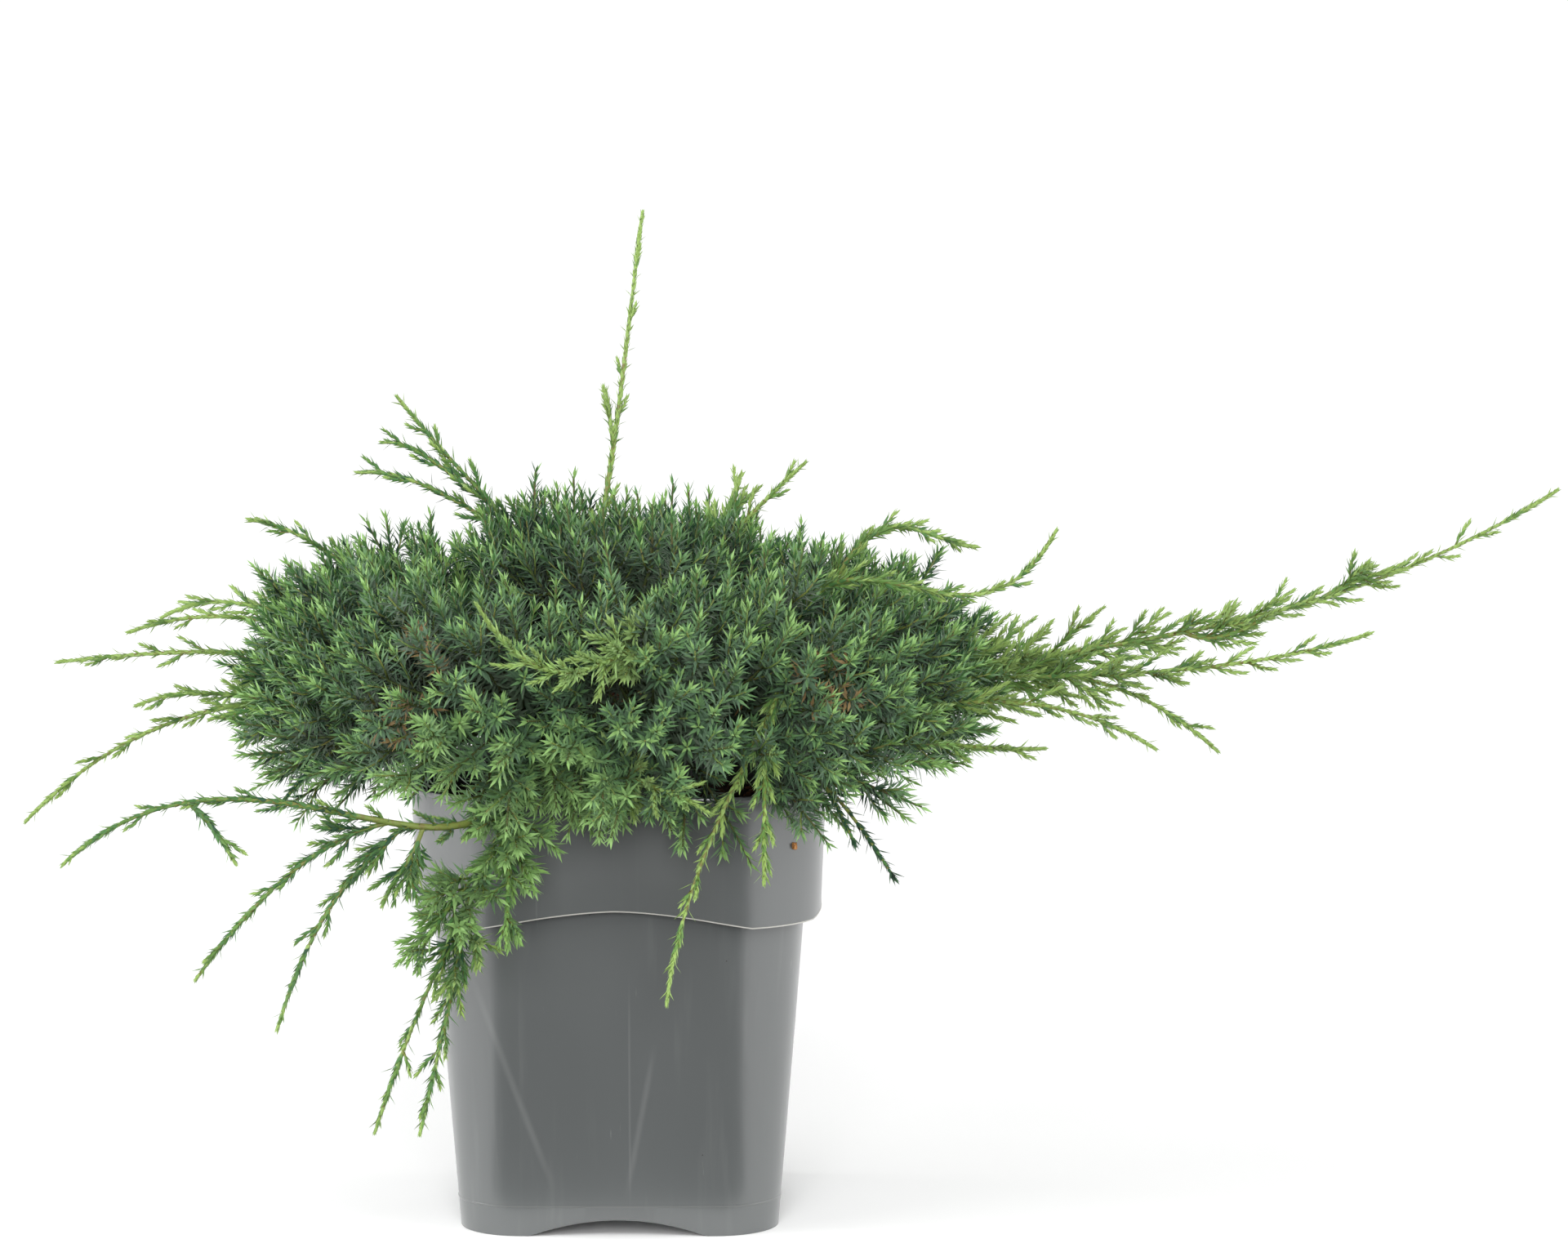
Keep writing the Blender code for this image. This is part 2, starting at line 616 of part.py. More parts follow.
class Mass:
    """One mass of foliage: a stem, its shoots, a core, and the sprays that stand out of them."""

    def __init__(self, row, middle):
        name, low, high, height, self.rows = row
        self.name, self.bough_name = f"foliage_{name}", f"bough_{name}"
        self.space = Space(low, high, middle)
        self.bough = bough_curve(self.space.azimuth, height, middle)
        growth = self.bough.along(1)
        start = self.bough.at(1) + growth * GAP
        self.leader = Shoot(start, start + growth * LEADER_RUN, (BOUGH_TIP_RADIUS, BOUGH_TIP_RADIUS))
        self.shoots = shoots_of(self.rows, self.leader.at(FORK_SHARE))
        self.core = Core(self.space)
        self.pieces = [self.core.mesh, stem_mesh(self.leader, 1)]
        self.tips = []

    def add_stems(self, clear):
        """The stems of the shoots, each to just inside its end spray."""
        clear.add_curve(self.name, self.leader, 1)
        for shoot in self.shoots.values():
            clear.add_curve(self.name, shoot, SHOOT_RUNS)
            end_share = 1 - STEM_END_SHARE * TIP_SPRAY[0] / shoot.length
            self.pieces.append(stem_mesh(shoot, end_share))

    def add_spray(self, root, tip, width, turn, clear, others, spacing):
        """One spray, unless it would meet another mass, the pot or a limb, or crowd its neighbours."""
        shoulder, waist = root.lerp(tip, SHOULDER_SHARE), root.lerp(tip, WAIST_SHARE)
        runs = (root, waist, width * SHOULDER_ROOM), (waist, tip, width * WAIST_ROOM)
        probes = (shoulder, width * SHOULDER_ROOM), (waist, width * SHOULDER_ROOM), (tip, width * TIP_ROOM)
        if any((tip - other).length < spacing for other in self.tips):
            return
        if not all(off_the_pot(*probe) for probe in probes):
            return
        if any(core.touches(*probe) for core in others for probe in probes):
            return
        if not all(clear.allows(self.name, *run) for run in runs):
            return
        for run in runs:
            clear.add(self.name, *run)
        self.tips.append(tip)
        self.pieces.append(spray_mesh(root, tip, width, turn))

    def add_shoot_sprays(self, clear, others, chance):
        """Sprays that turn round each shoot, with one at its tip."""
        for shoot in self.shoots.values():
            length, width = TIP_SPRAY
            last = 1 - length / shoot.length
            root = shoot.at(last)
            self.add_spray(root, shoot.at(1), width, chance.uniform(0, math.tau), clear, others, 0)
            count = int(shoot.length / SHOOT_SPRAY_SPACING)
            for i in range(count):
                share = (i + 0.5) / count * last
                root = shoot.at(share)
                if self.core.touches(root, SHOOT_CORE_ROOM):
                    continue
                length, width = SHOOT_SPRAY
                length *= chance.uniform(*SHOOT_LENGTHS)
                growth = shoot.along(share)
                side = across(growth, WHORL_TURN * i)
                tip = root + (growth * math.cos(SHOOT_SPRAY_ANGLE) + side * math.sin(SHOOT_SPRAY_ANGLE)) * length
                turn = chance.uniform(0, math.tau)
                self.add_spray(root, tip, width, turn, clear, others, SHOOT_TIP_SPACING)

    def add_mound_sprays(self, clear, others, chance):
        """Sprays that stand out of the core, spread by the golden angle, up to the mound's outline."""
        count = MIDDLE_SPRAYS if self.space.middle else RING_SPRAYS
        for i in range(count):
            level = 1 - 2 * (i + 0.5) / count
            ring = math.sqrt(1 - level**2)
            turn = i * WHORL_TURN
            way = Vector((ring * math.cos(turn), ring * math.sin(turn), level))
            root = self.core.surface(way)
            outward = (root - self.core.centre).normalized()
            growth = (root - DOME_HEART).normalized() + outward * LEAN_OUT
            growth += UP * (LEAN_UP if level > UNDERSIDE_LEVEL else LEAN_DOWN)
            growth += Vector((chance.uniform(-1, 1), chance.uniform(-1, 1), 0)) * LEAN_CHANCE
            growth.normalize()
            if growth.dot(outward) < LEAST_FACING:
                continue
            length = MOUND_SPRAY[0] * chance.uniform(*MOUND_LENGTHS)
            tip = root + growth * length
            over = tip.z - dome_level(math.hypot(tip.x, tip.y))
            if over > 0:
                tip -= growth * min(over, length * MOST_CUT)
            root = root - growth * MOUND_SPRAY[0] * SPRAY_SUNK
            width = MOUND_SPRAY[1] * chance.uniform(*MOUND_WIDTHS)
            if self.space.holds(root.lerp(tip, WAIST_SHARE), width * SHOULDER_ROOM) and self.space.holds(tip, 0):
                self.add_spray(root, tip, width, chance.uniform(0, math.tau), clear, others, MOUND_SPRAY_SPACING)

    def fuse(self, material, collection):
        """Joins the pieces to one solid by one Boolean union."""
        operands = new_collection(f"{self.name}_pieces")
        for i, mesh in enumerate(self.pieces[1:]):
            operands.objects.link(bpy.data.objects.new(f"{self.name}_{i}", mesh))
        mass = place(self.name, self.pieces[0], material, collection)
        for solver in ("EXACT", "MANIFOLD"):
            union = mass.modifiers.new("fuse", "BOOLEAN")
            union.operation = "UNION"
            union.operand_type = "COLLECTION"
            union.collection = operands
            union.solver = solver
            depsgraph = bpy.context.evaluated_depsgraph_get()
            fused = bpy.data.meshes.new_from_object(mass.evaluated_get(depsgraph))
            mass.modifiers.clear()
            keep_largest(fused)
            if is_closed(fused):
                break
        mass.data = fused
        for obj in list(operands.objects):
            bpy.data.objects.remove(obj)
        bpy.data.collections.remove(operands)


def keep_largest(mesh):
    """Keeps a mesh's widest shell, which fills the hollows that the union sealed and drops loose scraps."""
    bm = bmesh.new()
    bm.from_mesh(mesh)
    left = set(bm.faces)
    shells = []
    while left:
        shell = [left.pop()]
        for face in shell:
            beside = {other for edge in face.edges for other in edge.link_faces} & left
            left -= beside
            shell.extend(beside)
        shells.append(shell)
    shells.sort(key=lambda shell: sum(face.calc_area() for face in shell))
    loose = [face for shell in shells[:-1] for face in shell]
    bmesh.ops.delete(bm, geom=loose, context="FACES")
    bm.to_mesh(mesh)
    bm.free()


def is_closed(mesh):
    """True if every edge of the mesh joins two faces."""
    bm = bmesh.new()
    bm.from_mesh(mesh)
    closed = all(edge.is_manifold for edge in bm.edges)
    bm.free()
    return closed


def grow_crown(bark, foliage, collection):
    """The boughs and the masses of foliage: all the stems first, then the sprays, so that nothing overlaps."""
    chance = random.Random(SEED)
    clear = Clearance()
    trunk = Shoot(trunk_point(0), trunk_point(1), (trunk_radius(0), trunk_radius(1)))
    clear.add_curve("trunk", trunk, TRUNK_RUNS)
    masses = [Mass(row, False) for row in RING] + [Mass(row, True) for row in MIDDLE]
    for mass in masses:
        clear.add_curve(mass.bough_name, mass.bough, BOUGH_RUNS)
        make_bough(mass.bough_name, mass.bough, bark, collection)
    for mass in masses:
        mass.add_stems(clear)
    for mass in masses:
        others = [other.core for other in masses if other is not mass]
        mass.add_shoot_sprays(clear, others, chance)
    for mass in masses:
        others = [other.core for other in masses if other is not mass]
        mass.add_mound_sprays(clear, others, chance)
    for mass in masses:
        mass.fuse(foliage, collection)


def main():
    clear_scene()
    juniper = new_collection("potted_blue_carpet_juniper")
    cutters = new_collection("cutters")
    plastic = plain_material("grey_plastic", (0.13, 0.14, 0.14), 0.42)
    compost = plain_material("compost", (0.03, 0.02, 0.013), 0.95)
    bark = plain_material("bark", (0.16, 0.08, 0.045), 0.85)
    foliage = plain_material("needles", (0.09, 0.21, 0.10), 0.6)
    make_pot(plastic, juniper, cutters)
    make_soil(compost, juniper)
    make_trunk(bark, juniper)
    grow_crown(bark, foliage, juniper)


if __name__ == "__main__":
    main()
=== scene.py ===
"""Looks of the potted blue carpet juniper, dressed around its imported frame.

Run as a script it makes the pot, the soil, the limbs, the twigs, the needles and the stage. Lengths are in
metres. X runs to the right, Y away from the viewer and Z up. The origin is under the pot's middle, where it
stands. An azimuth is in degrees from +X towards +Y, so the viewer's side is -90. The stems follow the solids'
tables, and growth is carried on from them to side sprays, branchlets and needles.
"""

import math
from typing import NamedTuple

import bpy
import numpy as np
from bpy.props import FloatProperty, FloatVectorProperty, IntProperty, PointerProperty
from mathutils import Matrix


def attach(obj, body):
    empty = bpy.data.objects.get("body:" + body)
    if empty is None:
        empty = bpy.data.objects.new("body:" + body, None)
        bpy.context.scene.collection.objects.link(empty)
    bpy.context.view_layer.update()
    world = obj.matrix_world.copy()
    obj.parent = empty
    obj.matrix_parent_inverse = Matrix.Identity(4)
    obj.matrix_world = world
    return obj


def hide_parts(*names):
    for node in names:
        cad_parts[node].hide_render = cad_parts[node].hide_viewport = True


bl_info = {
    "name": "Potted juniper looks",
    "version": (1, 0, 0),
    "blender": (4, 5, 0),
    "location": "3D View > Sidebar > Juniper",
    "description": "Dresses the potted blue carpet juniper with a pot, soil, bark, twigs and needles",
    "category": "Object",
}

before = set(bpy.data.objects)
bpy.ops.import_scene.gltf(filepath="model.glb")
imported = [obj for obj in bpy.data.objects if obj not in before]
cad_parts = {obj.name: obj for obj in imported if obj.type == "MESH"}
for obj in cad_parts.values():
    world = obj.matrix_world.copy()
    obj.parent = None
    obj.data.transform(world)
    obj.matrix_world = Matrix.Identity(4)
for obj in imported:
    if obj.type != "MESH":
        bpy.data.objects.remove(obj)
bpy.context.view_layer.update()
NODES = sorted(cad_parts)
FOLIAGE_NODES = [node for node in NODES if node.startswith("foliage_")]
BOUGH_NODES = [node for node in NODES if node.startswith("bough_")]

MM = 0.001
TURN = math.tau
UP = np.array((0.0, 0.0, 1.0))
GOLDEN_TURN = math.radians(137.5)
MOST_TRIANGLES = 190_000

# Pot: outside half widths and corner radii of its body at the foot and at the rim's level
POT_HEIGHT = 184 * MM
WALL = 1.5 * MM
FOOT_HALF, FOOT_CORNER = 65.7 * MM, 26 * MM
BODY_TOP_HALF, BODY_TOP_CORNER = 81 * MM, 44 * MM
CORNER_STEPS, SIDE_STEPS = 20, 28
ROUNDED_EDGE = 0.35 * MM
SHARP_FROM = math.radians(38)

# Band round the pot's top, its wavy lower edge with a bead, and the lip at the rim
BAND_LOW_OUT, BAND_TOP_OUT = 6.8 * MM, 4.5 * MM
BAND_LOW, BAND_ARCH, BAND_ARCH_HALF, BAND_ARCH_POWER = 129.5 * MM, 7.5 * MM, 55 * MM, 1.6
BEAD_OUT, BEAD_HEIGHT = 0.3 * MM, 0.65 * MM
LIP_OUT, LIP_HEIGHT = 1.0 * MM, 2.5 * MM
LIP_FOOT = POT_HEIGHT - LIP_HEIGHT

# Pot's mould line with a painted highlight on it, raised floor, middle foot, arches between its corner feet
# and drain holes
MOULD_LINE, MOULD_LINE_OUT, MOULD_LINE_HIGHLIGHT = 12.5 * MM, 0.22 * MM, 0.15
FLOOR_UNDER, FLOOR_THICK = 11 * MM, 2 * MM
MIDDLE_FOOT_HALF, MIDDLE_FOOT_CORNER = 14 * MM, 9 * MM
FOOT_ARCH, FOOT_ARCH_HALF, FOOT_ARCH_POWER = 6.5 * MM, 36 * MM, 2
DRAIN_RADIUS, DRAIN_RING, DRAIN_COUNT, DRAIN_SIDES = 5 * MM, 38 * MM, 4, 24

# Scuffs on the pot's front: both ends as X and Z, and half width, in mm
SCUFFS = (
    ((-62, 116), (-24, 14), 2.2),
    ((16, 84), (3, 14), 2),
    ((5, 116), (5, 4), 0.7),
    ((-32, 168), (-32, 126), 0.6),
)

# Crumb that sticks to the band: its X and Z, the number of blocks in it and their half sizes
CRUMB_X, CRUMB_Z, CRUMB_BLOCKS, CRUMB_SIZE = 72 * MM, 162 * MM, 3, (1.1 * MM, 0.35 * MM, 0.8 * MM)

# Soil, its heap at the trunk, its lumps and crumbs, and the bark chips on it
SOIL_LEVEL = POT_HEIGHT - 14 * MM
SOIL_GAP = 0.3 * MM
SOIL_RINGS, SOIL_EDGE_DROP = 46, 2 * MM
SOIL_HEAP, SOIL_HEAP_REACH = 4 * MM, 40 * MM
SOIL_LUMP, SOIL_LUMP_SIZE, SOIL_CRUMB, SOIL_CRUMB_SIZE = 1.3 * MM, 16 * MM, 0.8 * MM, 5 * MM
CHIP_COUNT, CHIP_SIZE, CHIP_REACH = 520, (4.5 * MM, 2.2 * MM, 1.2 * MM), 74 * MM

# Trunk: height over the soil, shares of it with the radius there in mm, and lean
TRUNK_HEIGHT = 46 * MM
TRUNK_TAPER = ((0, 11), (0.1, 8.4), (0.25, 7.0), (0.6, 6.2), (1, 4.6))
TRUNK_LEAN = np.array((3, -2, 0)) * MM
TRUNK_RINGS, TRUNK_SIDES, TRUNK_LOBES, TRUNK_LOBE_SHARE = 70, 40, 5, 0.12
TRUNK_RELIEF, TRUNK_RELIEF_SIZE = 0.5 * MM, 4 * MM

# Boughs: radii at both ends, their tips in the ring and in the middle, and how far they bow up
GAP = 0.3 * MM
BOUGH_ROOT_RADIUS, BOUGH_TIP_RADIUS = 2.4 * MM, 1.7 * MM
RING_BOUGH_REACH, RING_BOUGH_LEVEL = 57 * MM, 209 * MM
MIDDLE_BOUGH_REACH, MIDDLE_BOUGH_LEVEL = 15 * MM, 238 * MM
BOUGH_BOW = 2.5 * MM
BOUGH_RINGS, BOUGH_SIDES, BOUGH_RELIEF = 34, 16, 0.22 * MM
LEADER_RUN, FORK_SHARE = 15 * MM, 0.8

# Stems of the shoots, and the slender spike of pressed needles at their tips
STEM_RADIUS, STEM_TIP_RADIUS, SIDE_STEM_RADIUS = 1.3 * MM, 0.5 * MM, 1.0 * MM
THICK_STEM_RADIUS = 1.9 * MM
TIP_NEEDLES = 4 * MM
SPIKE_LENGTH, SPIKE_NEEDLE, SPIKE_WHORL = 24 * MM, 4.8 * MM, 1.9 * MM
SPIKE_NEAR, SPIKE_FAR = math.radians(20), math.radians(9)
SPINE_WHORL, SPINE_NEAR, SPINE_FAR = 8 * MM, math.radians(60), math.radians(38)

# Needles pressed along the stems, which clothe them
CLOTH_WHORL, CLOTH_NEEDLE = 2.9 * MM, 5.6 * MM
CLOTH_NEAR, CLOTH_FAR = math.radians(18), math.radians(10)

# Side sprays of a shoot: the share of the stem where they start, the share that they fill, and their whorls
SPRAYS_FROM, SPRAYS_SPAN, SPRAY_WHORL = 0.05, 0.86, 2.1 * MM

# Branchlets: how many a shoot's side spray has, their lengths there and on the mound, their splay in degrees,
# and how long the green part of a twig has to be to bear them
SPRAY_BRANCHLETS, SPRAY_BRANCHLET, MOUND_BRANCHLET = 3, (8 * MM, 13 * MM), (14 * MM, 22 * MM)
BRANCHLET_SPLAY, BRANCHLET_GREEN = (20, 33), 16 * MM

# Radii of the finer twigs at their root and their tip
MOUND_RADII, SPIKE_RADII = (1.1 * MM, 0.4 * MM), (0.8 * MM, 0.4 * MM)
SPRAY_RADII, BRANCHLET_RADII = (0.6 * MM, 0.35 * MM), (0.55 * MM, 0.35 * MM)

# Mound: its outline is a dome, each mass has a heart that its sprays stand round, and the ring's sprays stay
# outside the middle's radius
DOME_FOOT, DOME_RISE, DOME_RADIUS, DOME_POWER = 204 * MM, 97 * MM, 172 * MM, 2.4
RING_HEART_REACH, RING_HEART_LEVEL = 101 * MM, 219 * MM
RING_HEART_HALF = np.array((36, 42, 28)) * MM
MIDDLE_HEART_REACH, MIDDLE_HEART_LEVEL = 31 * MM, 254 * MM
MIDDLE_HEART_HALF = np.array((26, 46, 13)) * MM
HEART_EDGE = 1.5 * MM
MIDDLE_RADIUS = 60 * MM

# Mound sprays: length beyond the heart, spread of lengths, how far each is green, how unevenly they meet the
# dome, at most which share of them it cuts off, how they lean out with their reach and climb with their
# height, how squarely they stand on the heart, and their needles' angles
SPRAY_LENGTH, SPRAY_LENGTHS = 42 * MM, (0.72, 1.25)
GREEN_LENGTH, DOME_FUZZ, DOME_CUT = 54 * MM, 12 * MM, 0.3
LEAN_OUT, LEAN_POWER, LEAN_CHANCE = 1.3, 2.6, 0.2
CLIMB_FOOT, CLIMB_SPAN, LEAST_CLIMB = 200 * MM, 45 * MM, -0.25
LEAST_FACING = 0.12
MOUND_NEAR, MOUND_FAR = math.radians(60), math.radians(24)

# Painted shade on the mound's sprays, which makes the crown's needles darker: none at this level, and all of
# it this much higher
SHADE_LEVEL, SHADE_SPAN = 190 * MM, 110 * MM

# How far the tips, the waists and the roots of the mound's sprays stay clear of the pot
TIP_ROOM, WAIST_ROOM, ROOT_ROOM = 4 * MM, 6 * MM, 2 * MM

# Sprays left out low on the sides, where the mound is airy: below this level, over this span and at most this
# share. The front, between its azimuths, keeps them all.
AIRY_LEVEL, AIRY_SPAN, AIRY_LOSS = 250 * MM, 50 * MM, 0.55
FRONT_AZIMUTHS = math.radians(-126), math.radians(-48)

# Light sprays that drape over the rim at the front: their azimuths, below which level and over which span
# they start, how steeply they fall, and how much lighter they are
DRAPE_AZIMUTHS, DRAPE_LEVEL, DRAPE_SPAN = (math.radians(-124), math.radians(-86)), 224 * MM, 16 * MM
DRAPE_FALL, DRAPE_LIGHTER = -0.35, 0.12

# The corner of the pot, to the left of its front, where the rim shows: its azimuths and how high sprays stay
BARE_AZIMUTHS, BARE_LEVEL = (math.radians(-146), math.radians(-116)), 189 * MM

# Shoots that lie on the mound in the viewer's sight, and bow further than in the solids for it: the stretch
# of them that shows, and the room kept there
LYING = ("hang", "pale", "high", "rise")
LYING_FROM, LYING_TO, LYING_ROOM = 0.3, 0.95, 7.5 * MM

# Old needles on each twig of the mound, and withered patches: their middles, how far they reach, and the
# share of brown needles in them and elsewhere inside
OLD_NEEDLES = 16
DEAD_SPOTS = np.array(((-76, -115, 243), (-84, -110, 218), (86, -110, 232))) * MM
DEAD_REACH, DEAD_SHARE, DEAD_INSIDE = 14 * MM, 0.26, 0.05

# Needle: the share of its length where it is widest, how hollow it is there as a share of its width, and how
# much of the bloom's colour its inner side takes
WAIST_SHARE, HOLLOW_SHARE = 0.42, 0.22
BLOOM_SHARE, DEAD_BLOOM_SHARE = 0.17, 0.06

# Stage: half the floor's width, its level, and its wedge from just before the pot to the far edge: half its
# width at both ends, and where it starts
FLOOR_HALF, FLOOR_LEVEL, FLOOR_GREY = 12.0, -0.05 * MM, 0.97
WEDGE_SIDE, WEDGE_WIDE, WEDGE_NEAR = 0.1, 9.5, -0.095

# Dark cards: under the wedge, behind the viewer, and over the crown
CARD_GREY, LOW_CARD_DROP = 0.03, 1 * MM
BACK_CARD_Y, BACK_CARD_HALF, BACK_CARD_HEIGHT = -3.4, 2.7, 3
TOP_CARD_HALF, TOP_CARD_LEVEL = 1.2, 1.6

# Lights: name, place, width and power in watts, and the point that they face
LIGHTS = (
    ("front", (0, -2.1, 2.3), 1.6, 34),
    ("viewer_side", (0, -2.5, 0.75), 0.9, 42),
    ("right", (2.3, -0.5, 1.0), 2.6, 37),
    ("left", (-2.3, -0.5, 1.0), 2.6, 62),
)
LIT_POINT = (0.05, 0, 0.22)
WORLD_STRENGTH = 1.05

# Camera: its place, how many degrees it looks down, its focal length and its sensor's width in mm
CAMERA_PLACE, CAMERA_DIP = (0.068, -2.25, 0.4843), 6.06
CAMERA_LENS, CAMERA_SENSOR = 124.5, 36.0

# Colours of marks, of the painted highlight on the pot's edges and of what has no picker, as screen
# values of 0 to 255
SCUFF_COLOUR, EDGE_HIGHLIGHT_COLOUR, INSIDE_COLOUR = (190, 192, 190), (182, 180, 174), (30, 31, 31)
DARK_SPECK, PALE_SPECK = (52, 48, 44), (176, 178, 176)
BARK_GREY, BARK_BIT, CHIP_BROWN = (138, 128, 118), (98, 66, 44), (98, 68, 46)
CRUMB_LIGHT, CRUMB_DARK = (196, 142, 82), (150, 96, 50)

# Masses round the crown: name, azimuths that it fills, height in mm where its bough leaves the trunk, and its
# shoots. A shoot: name, the shoot that it leaves (or None) and at which share of its length, its tip's
# azimuth in degrees, reach and height in mm, how far it stands over its chord at one and two thirds, and how
# far to the left of it there.
RING = (
    ("east", -19, 13, 12, (
        ("long", None, 0, -0.5, 392, 302, -10, -18, 0, 0),
        ("long_side", "long", 0.52, -5, 300, 257, -4, 2, 0, 0),
        ("long_spur", "long", 0.70, -3, 328, 271, 2, 2, 0, 0),
        ("mid", "long", 0.12, -11, 315, 248, -4, -7, 0, 0),
        ("fall", "long", 0.26, -9.5, 252, 197, 8, 10, 0, 0),
        ("high", None, 0, 3, 150, 280, 44, 30, -20, -10),
    )),
    ("east_front", -40, -19, 24, (
        ("bow", None, 0, -22.5, 238, 205, 8, 14, 0, 0),
        ("low", "bow", 0.2, -31, 203, 206, -4, -4, 0, 0),
        ("rise", None, 0, -21.5, 194, 292, 34, 2, -30, -14),
    )),
    ("right_front", -58, -40, 14, (
        ("droop", None, 0, -43, 156, 153, 10, 10, 0, 0),
        ("droop_side", "droop", 0.45, -49, 148, 168, 4, 4, 0, 0),
    )),
    ("front", -100, -58, 26, (
        ("hang", None, 0, -82, 162, 111, 60, 52, 52, 31),
        ("hang_side", "hang", 0.55, -69, 168, 158, 6, 4, 0, 0),
        ("pale", None, 0, -106, 187, 273, 18, -8, 22, 18),
        ("near", None, 0, -76.5, 166, 188, -4, 0, -20, -16),
    )),
    ("left_front", -146, -100, 12, (
        ("arch", None, 0, -137.5, 286, 173, -20, 8, 46, 32),
        ("arch_a", "arch", 0.80, -130, 222, 168, 2, 2, 0, 0),
        ("arch_b", "arch", 0.38, -121, 176, 148, -2, 0, 0, 0),
        ("arch_c", "arch", 0.45, -133, 238, 124, 10, 10, 0, 0),
        ("arch_d", "arch", 0.42, -127, 217, 103, 10, 14, 0, 0),
        ("drop", None, 0, -122, 177, 58, 30, 26, 22, 14),
        ("drop_side", "drop", 0.62, -116, 172, 58, 2, 4, 2, 2),
        ("drop_left", "drop", 0.55, -117, 172, 128, 2, 2, 0, 0),
        ("drop_right", "drop", 0.40, -105, 158, 132, 4, 4, 0, 0),
    )),
    ("left_low", -167, -146, 24, (
        ("flat", None, 0, -163, 177, 212, 6, 6, 0, 0),
        ("flat_side", "flat", 0.3, -160, 166, 201, 2, 4, 0, 0),
        ("dip", "flat", 0.2, -150, 158, 180, 4, 6, 0, 0),
    )),
    ("left", -184, -167, 13, (
        ("sweep", None, 0, -171, 250, 168, 18, 24, 0, 0),
        ("sweep_a", "sweep", 0.35, -174, 204, 214, 2, 4, 0, 0),
        ("reach", None, 0, -180, 238, 230, 12, 10, 0, 0),
    )),
    ("left_back", -203, -184, 23, (
        ("upper", None, 0, -188, 214, 240, 14, 16, 0, 0),
        ("curl", "upper", 0.35, -194, 206, 244, 8, 10, 0, 0),
        ("top", None, 0, -187, 160, 290, 14, 14, 0, 0),
    )),
    ("back_left", -235, -203, 12, (
        ("lead", None, 0, -218, 232, 196, 16, 20, 4, 4),
        ("side", "lead", 0.4, -228, 190, 214, 6, 6, 0, 0),
    )),
    ("back", -264, -235, 25, (
        ("lead", None, 0, -246, 205, 176, 20, 26, -4, -4),
        ("side", "lead", 0.35, -256, 180, 216, 4, 6, 0, 0),
    )),
    ("back_mid", -292, -264, 13, (
        ("lead", None, 0, -279, 236, 218, 2, 6, 4, 4),
        ("side", "lead", 0.4, -270, 190, 190, 8, 10, 0, 0),
    )),
    ("back_right", -320, -292, 24, (
        ("lead", None, 0, -309, 214, 170, 20, 26, 0, 0),
        ("side", "lead", 0.4, -298, 178, 212, 4, 6, 0, 0),
    )),
    ("right_back", -347, -320, 33, (
        ("lead", None, 0, -336, 226, 206, 12, 16, -4, -4),
        ("side", "lead", 0.4, -327, 184, 222, 2, 4, 0, 0),
    )),
)
MIDDLE = (
    ("crown_left", 80, 200, 38, (
        ("spire", None, 0, 78, 42, 418, 0, 0, -3, -2),
        ("spire_side", "spire", 0.42, 105, 32, 345, 2, 2, 0, 0),
        ("fork", None, 0, 168, 98, 341, 2, 0, 0, 0),
        ("fork_a", "fork", 0.5, 170, 104, 322, 2, 4, 0, 0),
        ("fork_b", "fork", 0.3, 171, 115, 309, 4, 6, 0, 0),
    )),
    ("crown_right", -40, 80, 42, (
        ("nod", None, 0, 10, 80, 314, 2, 2, 0, 0),
        ("nod_side", "nod", 0.4, 40, 66, 307, 2, 2, 0, 0),
    )),
    ("crown_front", 200, 320, 40, (
        ("up", None, 0, 250, 34, 296, 0, 0, 0, 0),
    )),
)


class Habit(NamedTuple):
    """How a shoot is dressed: its family of shades and its tone among them, the gap between side sprays,
    their length near the root and near the tip, their splay, the length of their needles and these needles'
    angle near the root, and the power by which those of later sprays press closer.

    Lengths are in mm and angles in degrees.
    """

    family: str
    tone: float
    spray_gap: float
    spray_near: float
    spray_far: float
    splay: float
    needle: float
    angle: float
    press: float


HABITS = {
    "leader": Habit("leader", 0.24, 7.5, 27, 8, 25, 6.4, 38, 0.6),
    "sparse": Habit("leader", 0.36, 14, 13, 7, 22, 5.2, 26, 0.6),
    "thick": Habit("green", 0.18, 9, 19, 8, 25, 6.4, 36, 0.6),
    "bushy": Habit("green", 0.24, 6, 28, 8, 30, 7.8, 46, 0.9),
    "plume": Habit("plume", 0.30, 4.6, 30, 16, 36, 8.6, 50, 3),
    "soft": Habit("pale", 0.36, 5, 30, 13, 36, 8, 46, 1.6),
    "fan": Habit("leader", 0.24, 6, 54, 9, 29, 6.8, 36, 0.6),
    "slim": Habit("green", 0.40, 6, 13, 8, 22, 6.4, 30, 0.8),
    "strand": Habit("green", 0.44, 5, 14, 9, 20, 8, 32, 1),
    "fringe": Habit("dark", 0.15, 60, 8, 6, 40, 7.8, 64, 1),
}
HABIT_OF = {
    "spire": "sparse", "spire_side": "sparse", "fork": "bushy", "fork_a": "thick", "fork_b": "thick",
    "arch": "thick", "arch_a": "thick", "arch_b": "bushy", "arch_c": "thick", "arch_d": "thick",
    "drop": "bushy", "drop_side": "bushy", "drop_left": "plume", "drop_right": "plume",
    "pale": "soft", "near": "soft", "up": "bushy", "high": "slim", "rise": "slim", "top": "bushy",
    "hang": "strand", "hang_side": "strand", "long": "fan", "mid": "fan", "bow": "fan",
    "droop": "fringe", "droop_side": "fringe", "dip": "fringe", "flat": "thick", "flat_side": "thick",
}
